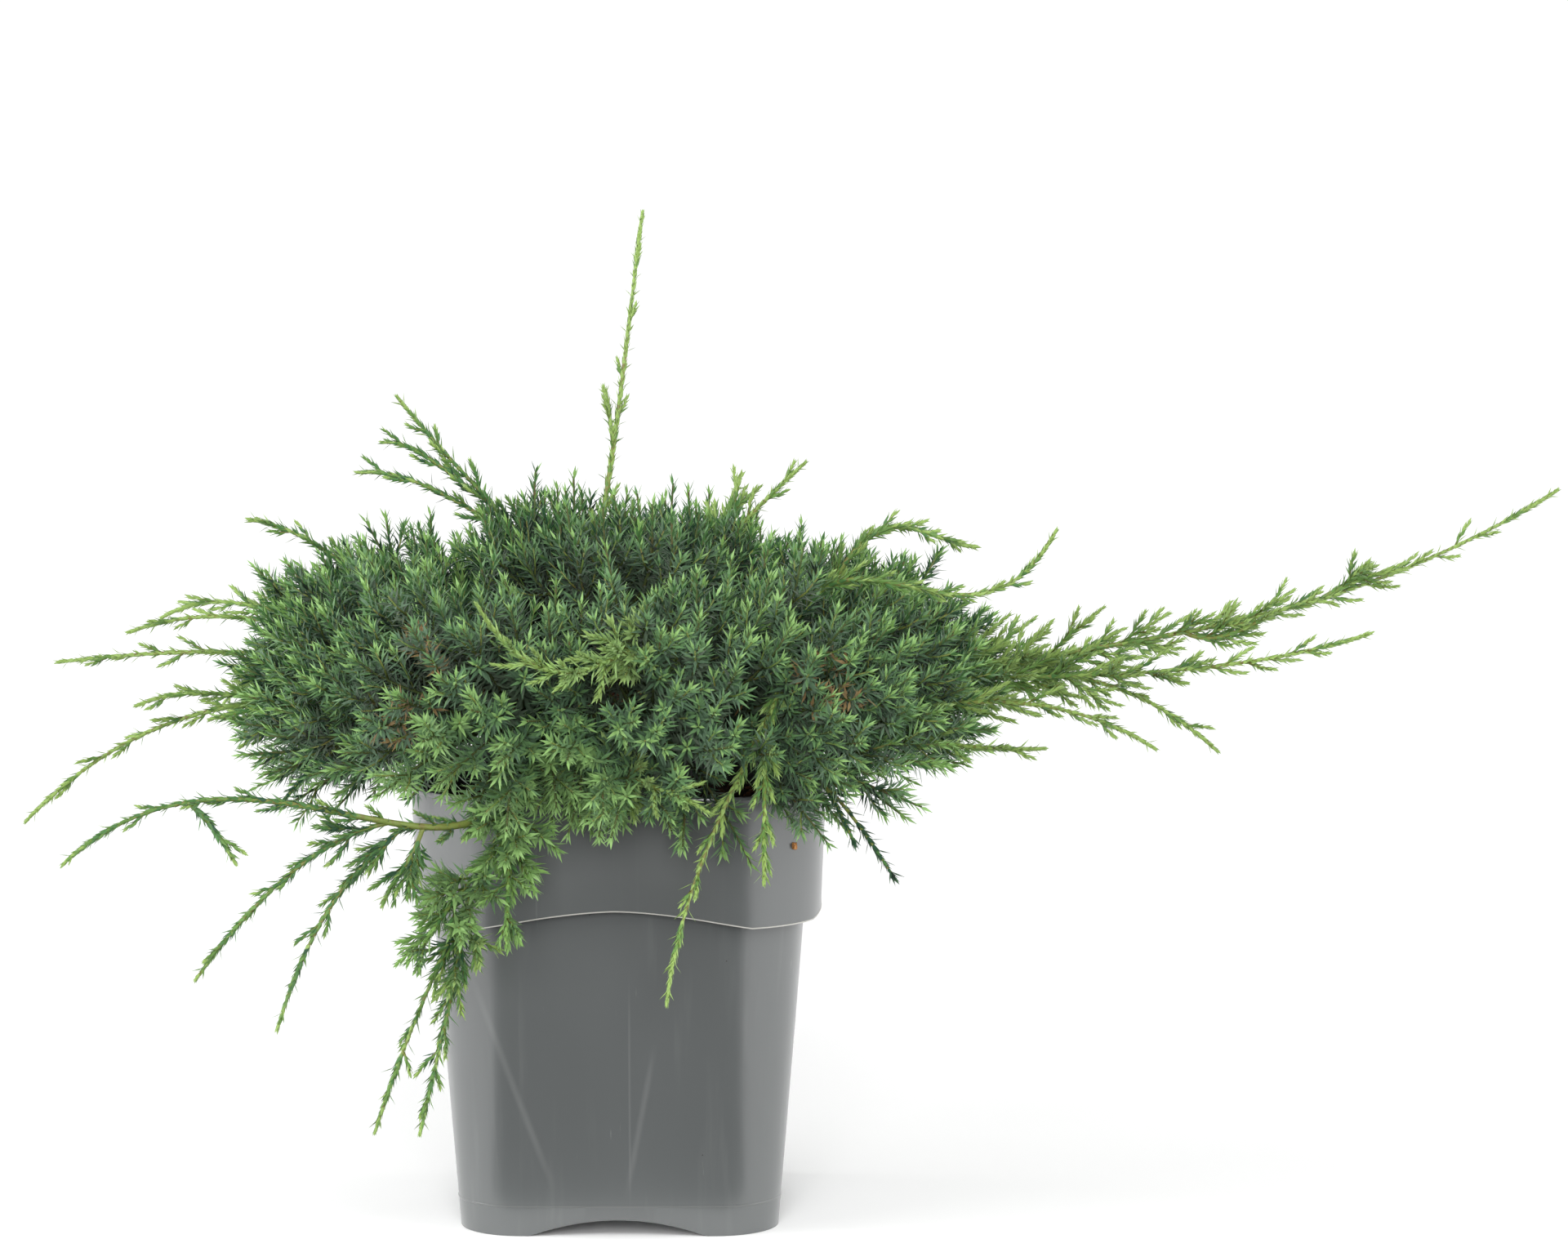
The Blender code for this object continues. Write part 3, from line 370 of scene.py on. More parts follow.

# Shades from the oldest needles to the youngest, by family. The darker shades are partly the old needles' own
# colour and partly painted shade deep in the foliage
FAMILIES = {
    "mound": ("deep", "blue", "mid", "fresh"),
    "green": ("blue", "mid", "leaf", "lime"),
    "leader": ("mid", "leaf", "lime", "lime"),
    "pale": ("mid", "pale", "pale", "lime"),
    "plume": ("blue", "mid", "leaf", "fresh"),
    "dark": ("deep", "blue", "blue", "mid"),
}
FAMILY_NAMES = tuple(FAMILIES)
SHADES = ("deep", "blue", "mid", "leaf", "fresh", "lime", "pale", "brown")
SHADE_TABLE = np.array([[SHADES.index(name) for name in FAMILIES[family]] for family in FAMILY_NAMES])


def screen(red, green, blue):
    """A linear colour from screen values: their share of 255 plus 0.055, over 1.055, to the power 2.4."""
    return tuple(((c / 255 + 0.055) / 1.055) ** 2.4 for c in (red, green, blue))


def colour_property(name, description, value):
    """A colour that a user can pick."""
    return FloatVectorProperty(
        name=name, description=description, subtype="COLOR", size=3, min=0, max=1, default=screen(*value),
    )


class JuniperSizes(bpy.types.PropertyGroup):
    """Sizes and counts of the growth."""

    seed: IntProperty(name="Seed", description="Start of every random draw", default=23, min=0)
    needle_width: FloatProperty(
        name="Needle width", description="Width of a needle at its widest", default=1.35 * MM, unit="LENGTH",
    )
    needle_length: FloatProperty(
        name="Needle length", description="Length of the mound's needles", default=7.8 * MM, unit="LENGTH",
    )
    whorl_gap: FloatProperty(
        name="Whorl gap", description="Gap between whorls of needles", default=1.7 * MM, unit="LENGTH",
    )
    mound_sprays: IntProperty(
        name="Mound sprays", description="Places for sprays round each mass's heart", default=76, min=8,
    )
    branchlets: IntProperty(
        name="Branchlets", description="Branchlets on each spray of the mound", default=4, min=0,
    )


class JuniperColours(bpy.types.PropertyGroup):
    """Colours of the needles, the wood, the soil and the pot."""

    # Deep is partly the oldest needles' own colour and partly painted shade for needles deep in the foliage
    deep: colour_property("Deep", "Oldest green needles", (15, 33, 20))
    blue: colour_property("Blue", "Blue-green needles", (40, 76, 50))
    mid: colour_property("Mid", "Mid green needles", (72, 114, 60))
    leaf: colour_property("Leaf", "Green needles of the shoots", (98, 134, 66))
    fresh: colour_property("Fresh", "Youngest needles of the mound", (126, 166, 88))
    lime: colour_property("Lime", "Youngest needles of the shoots", (138, 166, 88))
    pale: colour_property("Pale", "Soft grey-green needles", (148, 182, 104))
    brown: colour_property("Brown", "Dead needles", (130, 102, 62))
    bloom: colour_property("Bloom", "Pale bands on the inner side of the needles", (150, 176, 140))
    stem: colour_property("Stem", "Young stems", (120, 132, 64))
    twig: colour_property("Twig", "Twigs inside the mound", (74, 88, 46))
    bark: colour_property("Bark", "Old bark", (112, 78, 56))
    soil: colour_property("Soil", "Compost", (46, 36, 30))
    plastic: colour_property("Plastic", "The pot", (88, 91, 91))


class Flow:
    """A value on its way through a material: it wraps a socket, and maths on it adds Math nodes."""

    def __init__(self, paint, socket):
        self.paint = paint
        self.socket = socket

    def __add__(self, other):
        return self.paint.maths("ADD", self, other)

    def __sub__(self, other):
        return self.paint.maths("SUBTRACT", self, other)

    def __rsub__(self, other):
        return self.paint.maths("SUBTRACT", other, self)

    def __mul__(self, other):
        return self.paint.maths("MULTIPLY", self, other)

    def __abs__(self):
        return self.paint.maths("ABSOLUTE", self, 0)

    __radd__ = __add__
    __rmul__ = __mul__

    def rise(self, low, high):
        """0 up to low, 1 from high on and a smooth step between; low over high turns it round."""
        if low > high:
            return 1 - self.rise(high, low)
        settings = {"interpolation_type": "SMOOTHSTEP"}
        values = {"Value": self, "From Min": low, "From Max": high}
        made = self.paint.node("ShaderNodeMapRange", settings, values)
        return Flow(self.paint, made.outputs["Result"])


class Paint:
    """A material in the making on one Principled shader, whose plain values are set on its own sockets."""

    def __init__(self, name, values):
        self.material = bpy.data.materials.new(name)
        self.material.use_nodes = True
        self.tree = self.material.node_tree
        self.shader = self.tree.nodes["Principled BSDF"]
        self.fill(self.shader, values)

    def fill(self, node, values):
        """Sets or links the node's sockets."""
        for key, value in values.items():
            if isinstance(value, Flow):
                self.tree.links.new(value.socket, node.inputs[key])
            else:
                node.inputs[key].default_value = value

    def node(self, kind, settings=None, values=None):
        """A new node: its settings come first, and then its sockets."""
        made = self.tree.nodes.new(kind)
        for key, value in (settings or {}).items():
            setattr(made, key, value)
        self.fill(made, values or {})
        return made

    def maths(self, operation, first, second):
        """One Math node."""
        made = self.node("ShaderNodeMath", {"operation": operation}, {0: first, 1: second})
        return Flow(self, made.outputs[0])

    def place(self, stretch=(1, 1, 1), shift=(0, 0, 0)):
        """Object coordinates, stretched and shifted."""
        spot = Flow(self, self.node("ShaderNodeTexCoord").outputs["Object"])
        values = {"Vector": spot, "Scale": stretch, "Location": shift}
        return Flow(self, self.node("ShaderNodeMapping", None, values).outputs["Vector"])

    def axes(self):
        """X, Y and Z of the Object coordinates."""
        parts = self.node("ShaderNodeSeparateXYZ", None, {0: self.place()})
        return [Flow(self, parts.outputs[i]) for i in range(3)]

    def noise(self, size, detail=2, stretch=(1, 1, 1), shift=(0, 0, 0)):
        """Noise from 0 to 1 whose patches are about this size."""
        values = {"Vector": self.place(stretch, shift), "Scale": 1 / size, "Detail": detail}
        return Flow(self, self.node("ShaderNodeTexNoise", None, values).outputs["Fac"])

    def specks(self, cell, radius, share, shift=(0, 0, 0)):
        """1 in round specks, one in this share of the cells, and 0 elsewhere."""
        values = {"Vector": self.place(shift=shift), "Scale": 1 / cell}
        cells = self.node("ShaderNodeTexVoronoi", None, values)
        chosen = self.node("ShaderNodeSeparateColor", None, {0: Flow(self, cells.outputs["Color"])})
        near = Flow(self, cells.outputs["Distance"]).rise(radius / cell, 0.5 * radius / cell)
        return near * Flow(self, chosen.outputs[0]).rise(share + 0.01, share)

    def mix(self, factor, first, second):
        """A colour between two others."""
        values = {0: factor, 6: first, 7: second}
        return Flow(self, self.node("ShaderNodeMix", {"data_type": "RGBA"}, values).outputs[2])

    def bump(self, height, distance):
        """Relief in the shader's normal."""
        made = self.node("ShaderNodeBump", None, {"Height": height, "Distance": distance, "Strength": 1.0})
        self.fill(self.shader, {"Normal": Flow(self, made.outputs["Normal"])})


def solid(colour, factor=1.0):
    """A colour for a socket, made lighter or darker."""
    return (*(min(1.0, c * factor) for c in colour), 1.0)


def blend(first, second, share):
    """A plain colour between two others."""
    return tuple(a + (b - a) * share for a, b in zip(first, second))


def needle_paint(name, colour):
    """Needles: one colour with soft, slow changes over the plant, and a waxy sheen."""
    paint = Paint(name, {"Roughness": 0.52, "Specular IOR Level": 0.35, "Sheen Weight": 0.08})
    patches = paint.noise(34 * MM, 3)
    tone = paint.mix(patches, solid(colour, 0.78), solid(colour, 1.24))
    paint.fill(paint.shader, {"Base Color": tone})
    return paint.material


def stem_paint(colours):
    """Young stems: yellow-green, greener in patches, with brown scale marks."""
    paint = Paint("young_stem", {"Roughness": 0.5, "Specular IOR Level": 0.4})
    marks = paint.noise(2.6 * MM, 3).rise(0.5, 0.62)
    patches = paint.noise(24 * MM, 2, shift=(4, 0, 0)).rise(0.42, 0.6)
    tone = paint.mix(patches * 0.6, solid(colours.stem), solid(colours.leaf))
    tone = paint.mix(marks * 0.4, tone, solid(colours.bark, 1.1))
    paint.fill(paint.shader, {"Base Color": tone})
    paint.bump(paint.noise(0.9 * MM, 2), 0.15 * MM)
    return paint.material


def twig_paint(colours):
    """Twigs inside the mound: olive, with brown scales."""
    paint = Paint("inner_twig", {"Roughness": 0.7, "Specular IOR Level": 0.3})
    scales = paint.noise(3 * MM, 3).rise(0.5, 0.7)
    tone = paint.mix(scales * 0.5, solid(colours.twig), solid(colours.bark, 0.8))
    paint.fill(paint.shader, {"Base Color": tone})
    return paint.material


def bark_paint(colours):
    """Old bark: reddish-brown, flaking in long strips, and grey in patches."""
    paint = Paint("old_bark", {"Roughness": 0.88, "Specular IOR Level": 0.2})
    strips = paint.noise(2.2 * MM, 5, (1, 1, 0.22))
    tone = paint.mix(strips.rise(0.35, 0.65), solid(colours.bark, 0.45), solid(colours.bark, 1.25))
    grey = paint.noise(7 * MM, 3, shift=(0, 3, 0)).rise(0.52, 0.7)
    tone = paint.mix(grey * 0.45, tone, solid(screen(*BARK_GREY)))
    paint.fill(paint.shader, {"Base Color": tone})
    paint.bump(strips, 0.8 * MM)
    return paint.material


def soil_paint(colours):
    """Compost: near-black crumbs with reddish-brown bits of bark."""
    paint = Paint("compost", {"Roughness": 0.95, "Specular IOR Level": 0.15})
    crumbs = paint.noise(2.4 * MM, 6)
    tone = paint.mix(crumbs.rise(0.3, 0.7), solid(colours.soil, 0.4), solid(colours.soil, 1.5))
    bits = paint.specks(3.2 * MM, 1.1 * MM, 0.22)
    tone = paint.mix(bits, tone, solid(screen(*BARK_BIT)))
    paint.fill(paint.shader, {"Base Color": tone})
    paint.bump(crumbs, 1.6 * MM)
    return paint.material


def chip_paint(colours):
    """Bark chips: brown, each a little unlike the next."""
    paint = Paint("bark_chip", {"Roughness": 0.85, "Specular IOR Level": 0.2})
    patches = paint.noise(5 * MM, 1).rise(0.3, 0.7)
    tone = paint.mix(patches, solid(colours.soil, 1.2), solid(screen(*CHIP_BROWN)))
    paint.fill(paint.shader, {"Base Color": tone})
    paint.bump(paint.noise(0.8 * MM, 3), 0.3 * MM)
    return paint.material


def scuff(paint, start, end, half_width):
    """1 on a straight line across the pot's front, fading to its sides and its ends, and 0 behind."""
    x, y, z = paint.axes()
    run = np.subtract(end, start) * MM
    length = np.hypot(*run)
    run /= length
    out_x, out_z = x - start[0] * MM, z - start[1] * MM
    along = out_x * run[0] + out_z * run[1]
    away = abs(out_x * run[1] - out_z * run[0])
    mask = away.rise(half_width * MM, 0) * along.rise(0, 0.3 * length) * along.rise(length, 0.7 * length)
    return mask * y.rise(0, -10 * MM)


def pot_paint(colours):
    """Moulded plastic: grey, a little glossy, with a painted highlight on its edges, a black inside, scuffs,
    scratches and specks.

    The attribute paleness is over 0 where the highlight on the edges is painted, and under 0 where the
    plastic is black.
    """
    paint = Paint("pot_plastic", {"Specular IOR Level": 0.8, "Coat Weight": 0.5, "Coat Roughness": 0.2})
    grain = paint.noise(40 * MM, 3, (1, 1, 0.3))
    tone = paint.mix(grain, solid(colours.plastic, 0.93), solid(colours.plastic, 1.07))
    edge = Flow(paint, paint.node("ShaderNodeAttribute", {"attribute_name": "paleness"}).outputs["Fac"])
    # Painted highlight: the pot's edges are mixed towards a pale colour where the attribute is over 0
    tone = paint.mix(edge.rise(0, 1), tone, solid(screen(*EDGE_HIGHLIGHT_COLOUR)))
    tone = paint.mix(edge.rise(0, -1), tone, solid(screen(*INSIDE_COLOUR)))
    streaks = paint.noise(7 * MM, 3, (1, 1, 0.02), (0, 6, 0)).rise(0.55, 0.8)
    tone = paint.mix(streaks * 0.05, tone, solid(screen(*SCUFF_COLOUR)))
    scuffs = sum(scuff(paint, *row) for row in SCUFFS)
    scratches = paint.noise(1.4 * MM, 2, (1, 1, 0.06), (2, 0, 0)).rise(0.7, 0.8)
    scratched = paint.noise(22 * MM, 1, shift=(0, 0, 5)).rise(0.55, 0.7)
    wear = scuffs * 0.07 + scratches * scratched * 0.25
    tone = paint.mix(wear, tone, solid(screen(*SCUFF_COLOUR)))
    dark_specks = paint.specks(11 * MM, 0.42 * MM, 0.3)
    pale_specks = paint.specks(26 * MM, 0.55 * MM, 0.3, (0.4, 0.1, 0.7))
    tone = paint.mix(dark_specks, tone, solid(screen(*DARK_SPECK)))
    tone = paint.mix(pale_specks, tone, solid(screen(*PALE_SPECK)))
    rough = paint.noise(24 * MM, 2) * 0.06 + 0.28 + wear * 0.3
    paint.fill(paint.shader, {"Base Color": tone, "Roughness": rough})
    paint.bump(paint.noise(80 * MM, 1, shift=(1, 1, 0)) + paint.noise(1.1 * MM, 2) * 0.02, 0.2 * MM)
    return paint.material


def crumb_paint():
    """A light brown crumb."""
    paint = Paint("crumb", {"Roughness": 0.8})
    tone = paint.mix(paint.noise(1.2 * MM), solid(screen(*CRUMB_LIGHT)), solid(screen(*CRUMB_DARK)))
    paint.fill(paint.shader, {"Base Color": tone})
    return paint.material


def unit(vectors):
    """Each vector over its own length."""
    return vectors / np.linalg.norm(vectors, axis=-1, keepdims=True)


def polar(azimuth, reach, height):
    """The point at this azimuth in degrees, this far from the upright axis and this high."""
    turn = math.radians(azimuth)
    return np.array((reach * math.cos(turn), reach * math.sin(turn), height))


def ripple(points, size, seed, count=14):
    """Smooth relief of about -1 to 1: sine waves of about this length in random directions, added up."""
    chance = np.random.default_rng(seed)
    waves = unit(chance.normal(size=(count, 3))) * TURN / size * chance.uniform(0.5, 1.6, (count, 1))
    return np.sin(points @ waves.T + chance.uniform(0, TURN, count)).sum(-1) / 4


def deal(counts):
    """As many marks for each owner as its count: the owner of each mark, and its number from 0."""
    counts = np.asarray(counts)
    owner = np.repeat(np.arange(len(counts)), counts)
    first = np.cumsum(counts) - counts
    return owner, np.arange(len(owner)) - first[owner]


def new_piece(name, points, faces, materials, slots=None, smooth=False):
    """A piece at the origin from points (n, 3) and triangles (m, 3), with each triangle's material slot."""
    mesh = bpy.data.meshes.new(name)
    mesh.vertices.add(len(points))
    mesh.vertices.foreach_set("co", np.asarray(points, np.float32).ravel())
    mesh.loops.add(faces.size)
    mesh.loops.foreach_set("vertex_index", faces.astype(np.int32).ravel())
    mesh.polygons.add(len(faces))
    mesh.polygons.foreach_set("loop_start", np.arange(0, faces.size, 3, dtype=np.int32))
    mesh.polygons.foreach_set("use_smooth", np.full(len(faces), smooth))
    for material in materials:
        mesh.materials.append(material)
    if slots is not None:
        mesh.polygons.foreach_set("material_index", slots.astype(np.int32))
    mesh.update(calc_edges=True)
    piece = bpy.data.objects.new(name, mesh)
    bpy.context.scene.collection.objects.link(piece)
    return piece


def finish_piece(piece, slot, *nodes):
    """Makes the piece ride with the plant and hides these solids, whose place it takes. The slot is not used.
    """
    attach(piece, "root")
    if nodes:
        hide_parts(*nodes)
    return piece


def tube_faces(rings, sides):
    """Triangles of one closed tube whose points run ring by ring, then its root and its tip.

    Two triangles join each side of a ring to the next ring, and a fan closes each end.
    """
    grid = np.meshgrid(np.arange(rings - 1), np.arange(sides), indexing="ij")
    ring, side = grid[0].ravel(), grid[1].ravel()
    a, b = ring * sides + side, ring * sides + (side + 1) % sides
    walls = np.stack((a, b, b + sides, a, b + sides, a + sides), -1).reshape(-1, 3)
    start = np.arange(sides)
    after = (start + 1) % sides
    root, tip, last = rings * sides, rings * sides + 1, (rings - 1) * sides
    root_cap = np.stack((after, start, np.full(sides, root)), -1)
    tip_cap = np.stack((last + start, last + after, np.full(sides, tip)), -1)
    return np.concatenate((walls, root_cap, tip_cap))


class Twigs:
    """Many twigs at once: each runs along a cubic curve, and its radius goes evenly from root to tip.

    Traits are one number a twig: family, tone, first (the share where its needles start), near and far (the
    angles of its needles at its root and tip), needle (their length) and whorl (the gap between whorls).
    """

    def __init__(self, corners, radii, **traits):
        self.corners = np.asarray(corners, float)
        self.count = len(self.corners)
        self.radii = np.broadcast_to(np.asarray(radii, float), (self.count, 2))
        self.traits = {
            key: np.broadcast_to(np.asarray(value, float), self.count) for key, value in traits.items()
        }
        chord = unit(self.corners[:, 3] - self.corners[:, 0])
        steep = np.abs(chord[:, 2:]) > 0.8
        self.guide = np.where(steep, (1.0, 0.2, 0.0), (0.0, 0.1, 1.0))

    def some(self, which):
        """These twigs alone."""
        traits = {key: values[which] for key, values in self.traits.items()}
        return Twigs(self.corners[which], self.radii[which], **traits)

    def at(self, which, share):
        """Points at these shares of these twigs, by the cubic's Bernstein weights."""
        rest = 1 - share
        weights = np.stack((rest**3, 3 * rest**2 * share, 3 * rest * share**2, share**3), -1)
        return (weights[..., None] * self.corners[which]).sum(-2)

    def along(self, which, share):
        """The unit direction of growth there, by the cubic's derivative."""
        rest = 1 - share
        weights = np.stack((rest**2, 2 * rest * share, share**2), -1)
        return unit((weights[..., None] * np.diff(self.corners[which], axis=-2)).sum(-2))

    def frames(self, which, share):
        """Growth there, and two unit vectors square to it and to each other."""
        growth = self.along(which, share)
        side = unit(np.cross(self.guide[which], growth))
        return growth, side, np.cross(growth, side)

    def outward(self, which, share, turn):
        """Growth there, and the way out of the twig at this turn round it."""
        growth, side, over = self.frames(which, share)
        return growth, side * np.cos(turn)[:, None] + over * np.sin(turn)[:, None]

    def radius(self, which, share):
        """The radius there."""
        radii = self.radii[which]
        return radii[..., 0] + (radii[..., 1] - radii[..., 0]) * share

    def lengths(self):
        """Each twig's length, by chords between marks."""
        marks = self.at(np.arange(self.count)[:, None], np.linspace(0, 1, 13)[None, :])
        return np.linalg.norm(np.diff(marks, axis=1), axis=-1).sum(1)


def tubes(twigs, rings, sides, relief=0.0, relief_size=3 * MM):
    """All the twigs as closed tubes: a circle carried along each curve, with bark relief in its radius."""
    which = np.arange(twigs.count)[:, None]
    share = np.broadcast_to(np.linspace(0, 1, rings), (twigs.count, rings))
    centre = twigs.at(which, share)
    growth, side, over = twigs.frames(which, share)
    turn = np.arange(sides) * TURN / sides
    out = side[:, :, None] * np.cos(turn)[:, None] + over[:, :, None] * np.sin(turn)[:, None]
    radius = twigs.radius(which, share)[:, :, None, None]
    points = centre[:, :, None] + out * radius
    if relief:
        drawn_out = points * (1, 1, 0.3)
        points = points + out * relief * ripple(drawn_out, relief_size, 5)[..., None]
    points = points.reshape(twigs.count, -1, 3)
    points = np.concatenate((points, centre[:, :1], centre[:, -1:]), 1)
    faces = tube_faces(rings, sides) + np.arange(twigs.count)[:, None, None] * (rings * sides + 2)
    return points.reshape(-1, 3), faces.reshape(-1, 3)


def bowed(start, tip, rise=(0, 0), left=(0, 0)):
    """The four corners of a cubic curve that stands this far over its chord and to its left at its thirds.

    Each inner corner stands three times as far as its own third, less one and a half times the other's.
    """
    chord = tip - start
    side = unit(np.cross(UP, chord))
    near = UP * rise[0] + side * left[0]
    far = UP * rise[1] + side * left[1]
    near, far = 3 * near - 1.5 * far, 3 * far - 1.5 * near
    return np.array((start, start + chord / 3 + near, start + chord * 2 / 3 + far, tip))


def point_on(corners, share):
    """The point at this share of one cubic, by its Bernstein weights."""
    weights = (1 - share) ** 3, 3 * (1 - share) ** 2 * share, 3 * (1 - share) * share**2, share**3
    return np.dot(weights, corners)


def trunk_point(share):
    """The trunk's centre at these shares of its height, where it leans by their power 1.5."""
    share = np.asarray(share, float)[..., None]
    return np.array((0, 0, SOIL_LEVEL + GAP)) + TRUNK_LEAN * share**1.5 + UP * TRUNK_HEIGHT * share


def trunk_radius(share):
    """The trunk's radius at these shares of its height, evenly between those of its taper."""
    shares, radii = zip(*TRUNK_TAPER)
    return np.interp(share, shares, radii) * MM


class Mass:
    """One mass of foliage: its wedge, bough, leader beyond it, fork where its shoots start, and heart."""

    def __init__(self, row, middle):
        _, low, high, height, self.rows = row
        self.middle = middle
        self.azimuth = (low + high) / 2
        self.half = math.radians(high - low) / 2
        share = height * MM / TRUNK_HEIGHT
        reach = MIDDLE_BOUGH_REACH if middle else RING_BOUGH_REACH
        tip = polar(self.azimuth, reach, MIDDLE_BOUGH_LEVEL if middle else RING_BOUGH_LEVEL)
        out = polar(self.azimuth, 1, 0)
        rise = tip - trunk_point(share) - out * trunk_radius(share)
        lean = BOUGH_ROOT_RADIUS * unit(rise)[2]
        start = trunk_point(share) + out * (trunk_radius(share) + 1.5 * GAP + lean)
        self.bough = bowed(start, tip, (BOUGH_BOW, BOUGH_BOW))
        growth = unit(self.bough[3] - self.bough[2])
        self.leader = bowed(tip + growth * GAP, tip + growth * (GAP + LEADER_RUN))
        self.fork = point_on(self.leader, FORK_SHARE)
        reach = MIDDLE_HEART_REACH if middle else RING_HEART_REACH
        self.heart = polar(self.azimuth, reach, MIDDLE_HEART_LEVEL if middle else RING_HEART_LEVEL)
        self.heart_half = MIDDLE_HEART_HALF if middle else RING_HEART_HALF


def all_masses():
    """Every mass, the ring first."""
    return [Mass(row, False) for row in RING] + [Mass(row, True) for row in MIDDLE]


def shoot_twigs(masses):
    """The stems of all the shoots, each with its habit, and the numbers of those that lie on the mound."""
    corners, radii, names, lying = [], [], [], []
    for mass in masses:
        made = {}
        for name, parent, share, azimuth, reach, height, *bows in mass.rows:
            start = point_on(made[parent], share) if parent else mass.fork
            tip = polar(azimuth, reach * MM, height * MM)
            tip = tip + unit(start - tip) * TIP_NEEDLES
            rise_near, rise_far, left_near, left_far = (bow * MM for bow in bows)
            if name in LYING:
                lying.append(len(corners))
            made[name] = bowed(start, tip, (rise_near, rise_far), (left_near, left_far))
            thick = THICK_STEM_RADIUS if name == "arch" else STEM_RADIUS
            corners.append(made[name])
            radii.append((SIDE_STEM_RADIUS if parent else thick, STEM_TIP_RADIUS))
            names.append(HABIT_OF.get(name, "leader"))
    habits = [HABITS[name] for name in names]
    fringed = np.array([habit.family == "dark" for habit in habits])
    traits = {
        "family": [FAMILY_NAMES.index(habit.family) for habit in habits],
        "tone": [habit.tone for habit in habits],
        "first": 0.12,
        "near": SPINE_NEAR,
        "far": SPINE_FAR,
        "needle": [habit.needle * MM for habit in habits],
        "whorl": np.where(fringed, 0.55, 1) * SPINE_WHORL,
    }
    return Twigs(corners, radii, **traits), habits, lying


def shoot_spikes(stems):
    """The last stretch of each stem again, as a twig whose needles are pressed to a slender spike.

    It is a cubic whose inner corners are a third of its chord along the stem's growth at either end.
    """
    which = np.arange(stems.count)
    start = 1 - np.minimum(0.6, SPIKE_LENGTH / stems.lengths())
    root, tip = stems.at(which, start), stems.at(which, np.ones(stems.count))
    third = np.linalg.norm(tip - root, axis=1)[:, None] / 3
    near = root + stems.along(which, start) * third
    far = tip - stems.along(which, np.ones(stems.count)) * third
    traits = dict(stems.traits)
    traits.update(tone=stems.traits["tone"] + 0.15, first=0.0, near=SPIKE_NEAR, far=SPIKE_FAR)
    traits.update(needle=SPIKE_NEEDLE, whorl=SPIKE_WHORL)
    return Twigs(np.stack((root, near, far, tip), 1), SPIKE_RADII, **traits)


def shoot_cloth(stems):
    """The stems again, with broad needles pressed along them. Dark stems and a thick one's foot stay bare."""
    traits = dict(stems.traits)
    first = np.where(stems.radii[:, 0] > STEM_RADIUS, 0.5, 0.04)
    first = np.where(stems.traits["family"] == FAMILY_NAMES.index("dark"), 0.97, first)
    traits.update(tone=stems.traits["tone"] + 0.08, first=first)
    traits.update(near=CLOTH_NEAR, far=CLOTH_FAR, needle=CLOTH_NEEDLE, whorl=CLOTH_WHORL)
    return Twigs(stems.corners, stems.radii, **traits)


def tilted(growth, out, angle):
    """Ways at this angle from growth towards out: growth by its cosine and out by its sine."""
    return growth * np.cos(angle)[:, None] + out * np.sin(angle)[:, None]


def side_twigs(parents, owner, share, turn, length, splay, traits, radii, lift=0.12):
    """Twigs that leave others, each in three steps of about a third of its length.

    The first step stands off its parent's growth by 1.25 times the splay, the second by the splay, and the
    third by 0.75 times the splay and a little upwards.
    """
    growth, out = parents.outward(owner, share, turn)
    root, length = parents.at(owner, share), length[:, None]
    near = root + tilted(growth, out, splay * 1.25) * length * 0.34
    far = near + tilted(growth, out, splay) * length * 0.33
    tip = far + unit(tilted(growth, out, splay * 0.75) + UP * lift) * length * 0.33
    return Twigs(np.stack((root, near, far, tip), 1), radii, **traits)


def shoot_sprays(stems, habits, chance):
    """The side sprays of the shoots, by the golden angle round each stem, shorter towards its tip."""
    number = {field: np.array([getattr(habit, field) for habit in habits]) for field in Habit._fields[1:]}
    counts = np.maximum(1, (stems.lengths() * SPRAYS_SPAN / (number["spray_gap"] * MM)).astype(int))
    owner, order = deal(counts)
    progress = (order + chance.uniform(0.2, 0.8, len(order))) / counts[owner]
    share = SPRAYS_FROM + SPRAYS_SPAN * (0.45 * progress + 0.55 * progress**2)
    press = progress ** number["press"][owner]
    turn = order * GOLDEN_TURN + chance.normal(0, 0.3, len(order))
    near, far = number["spray_near"][owner], number["spray_far"][owner]
    length = (near + (far - near) * progress**0.6) * chance.uniform(0.75, 1.2, len(order)) * MM
    splay = np.radians(number["splay"][owner]) * chance.uniform(0.7, 1.25, len(order))
    angle = np.radians(number["angle"][owner])
    needle = number["needle"][owner] * MM
    traits = {
        "family": stems.traits["family"][owner],
        "tone": number["tone"][owner] + 0.15 * progress + chance.normal(0, 0.07, len(order)),
        "first": 0.04,
        "near": angle + (SPIKE_NEAR - angle) * press,
        "far": angle * 0.5 + (SPIKE_FAR - angle * 0.5) * press,
        "needle": needle + (SPIKE_NEEDLE - needle) * press,
        "whorl": SPRAY_WHORL,
    }
    return side_twigs(stems, owner, share, turn, length, splay, traits, SPRAY_RADII)


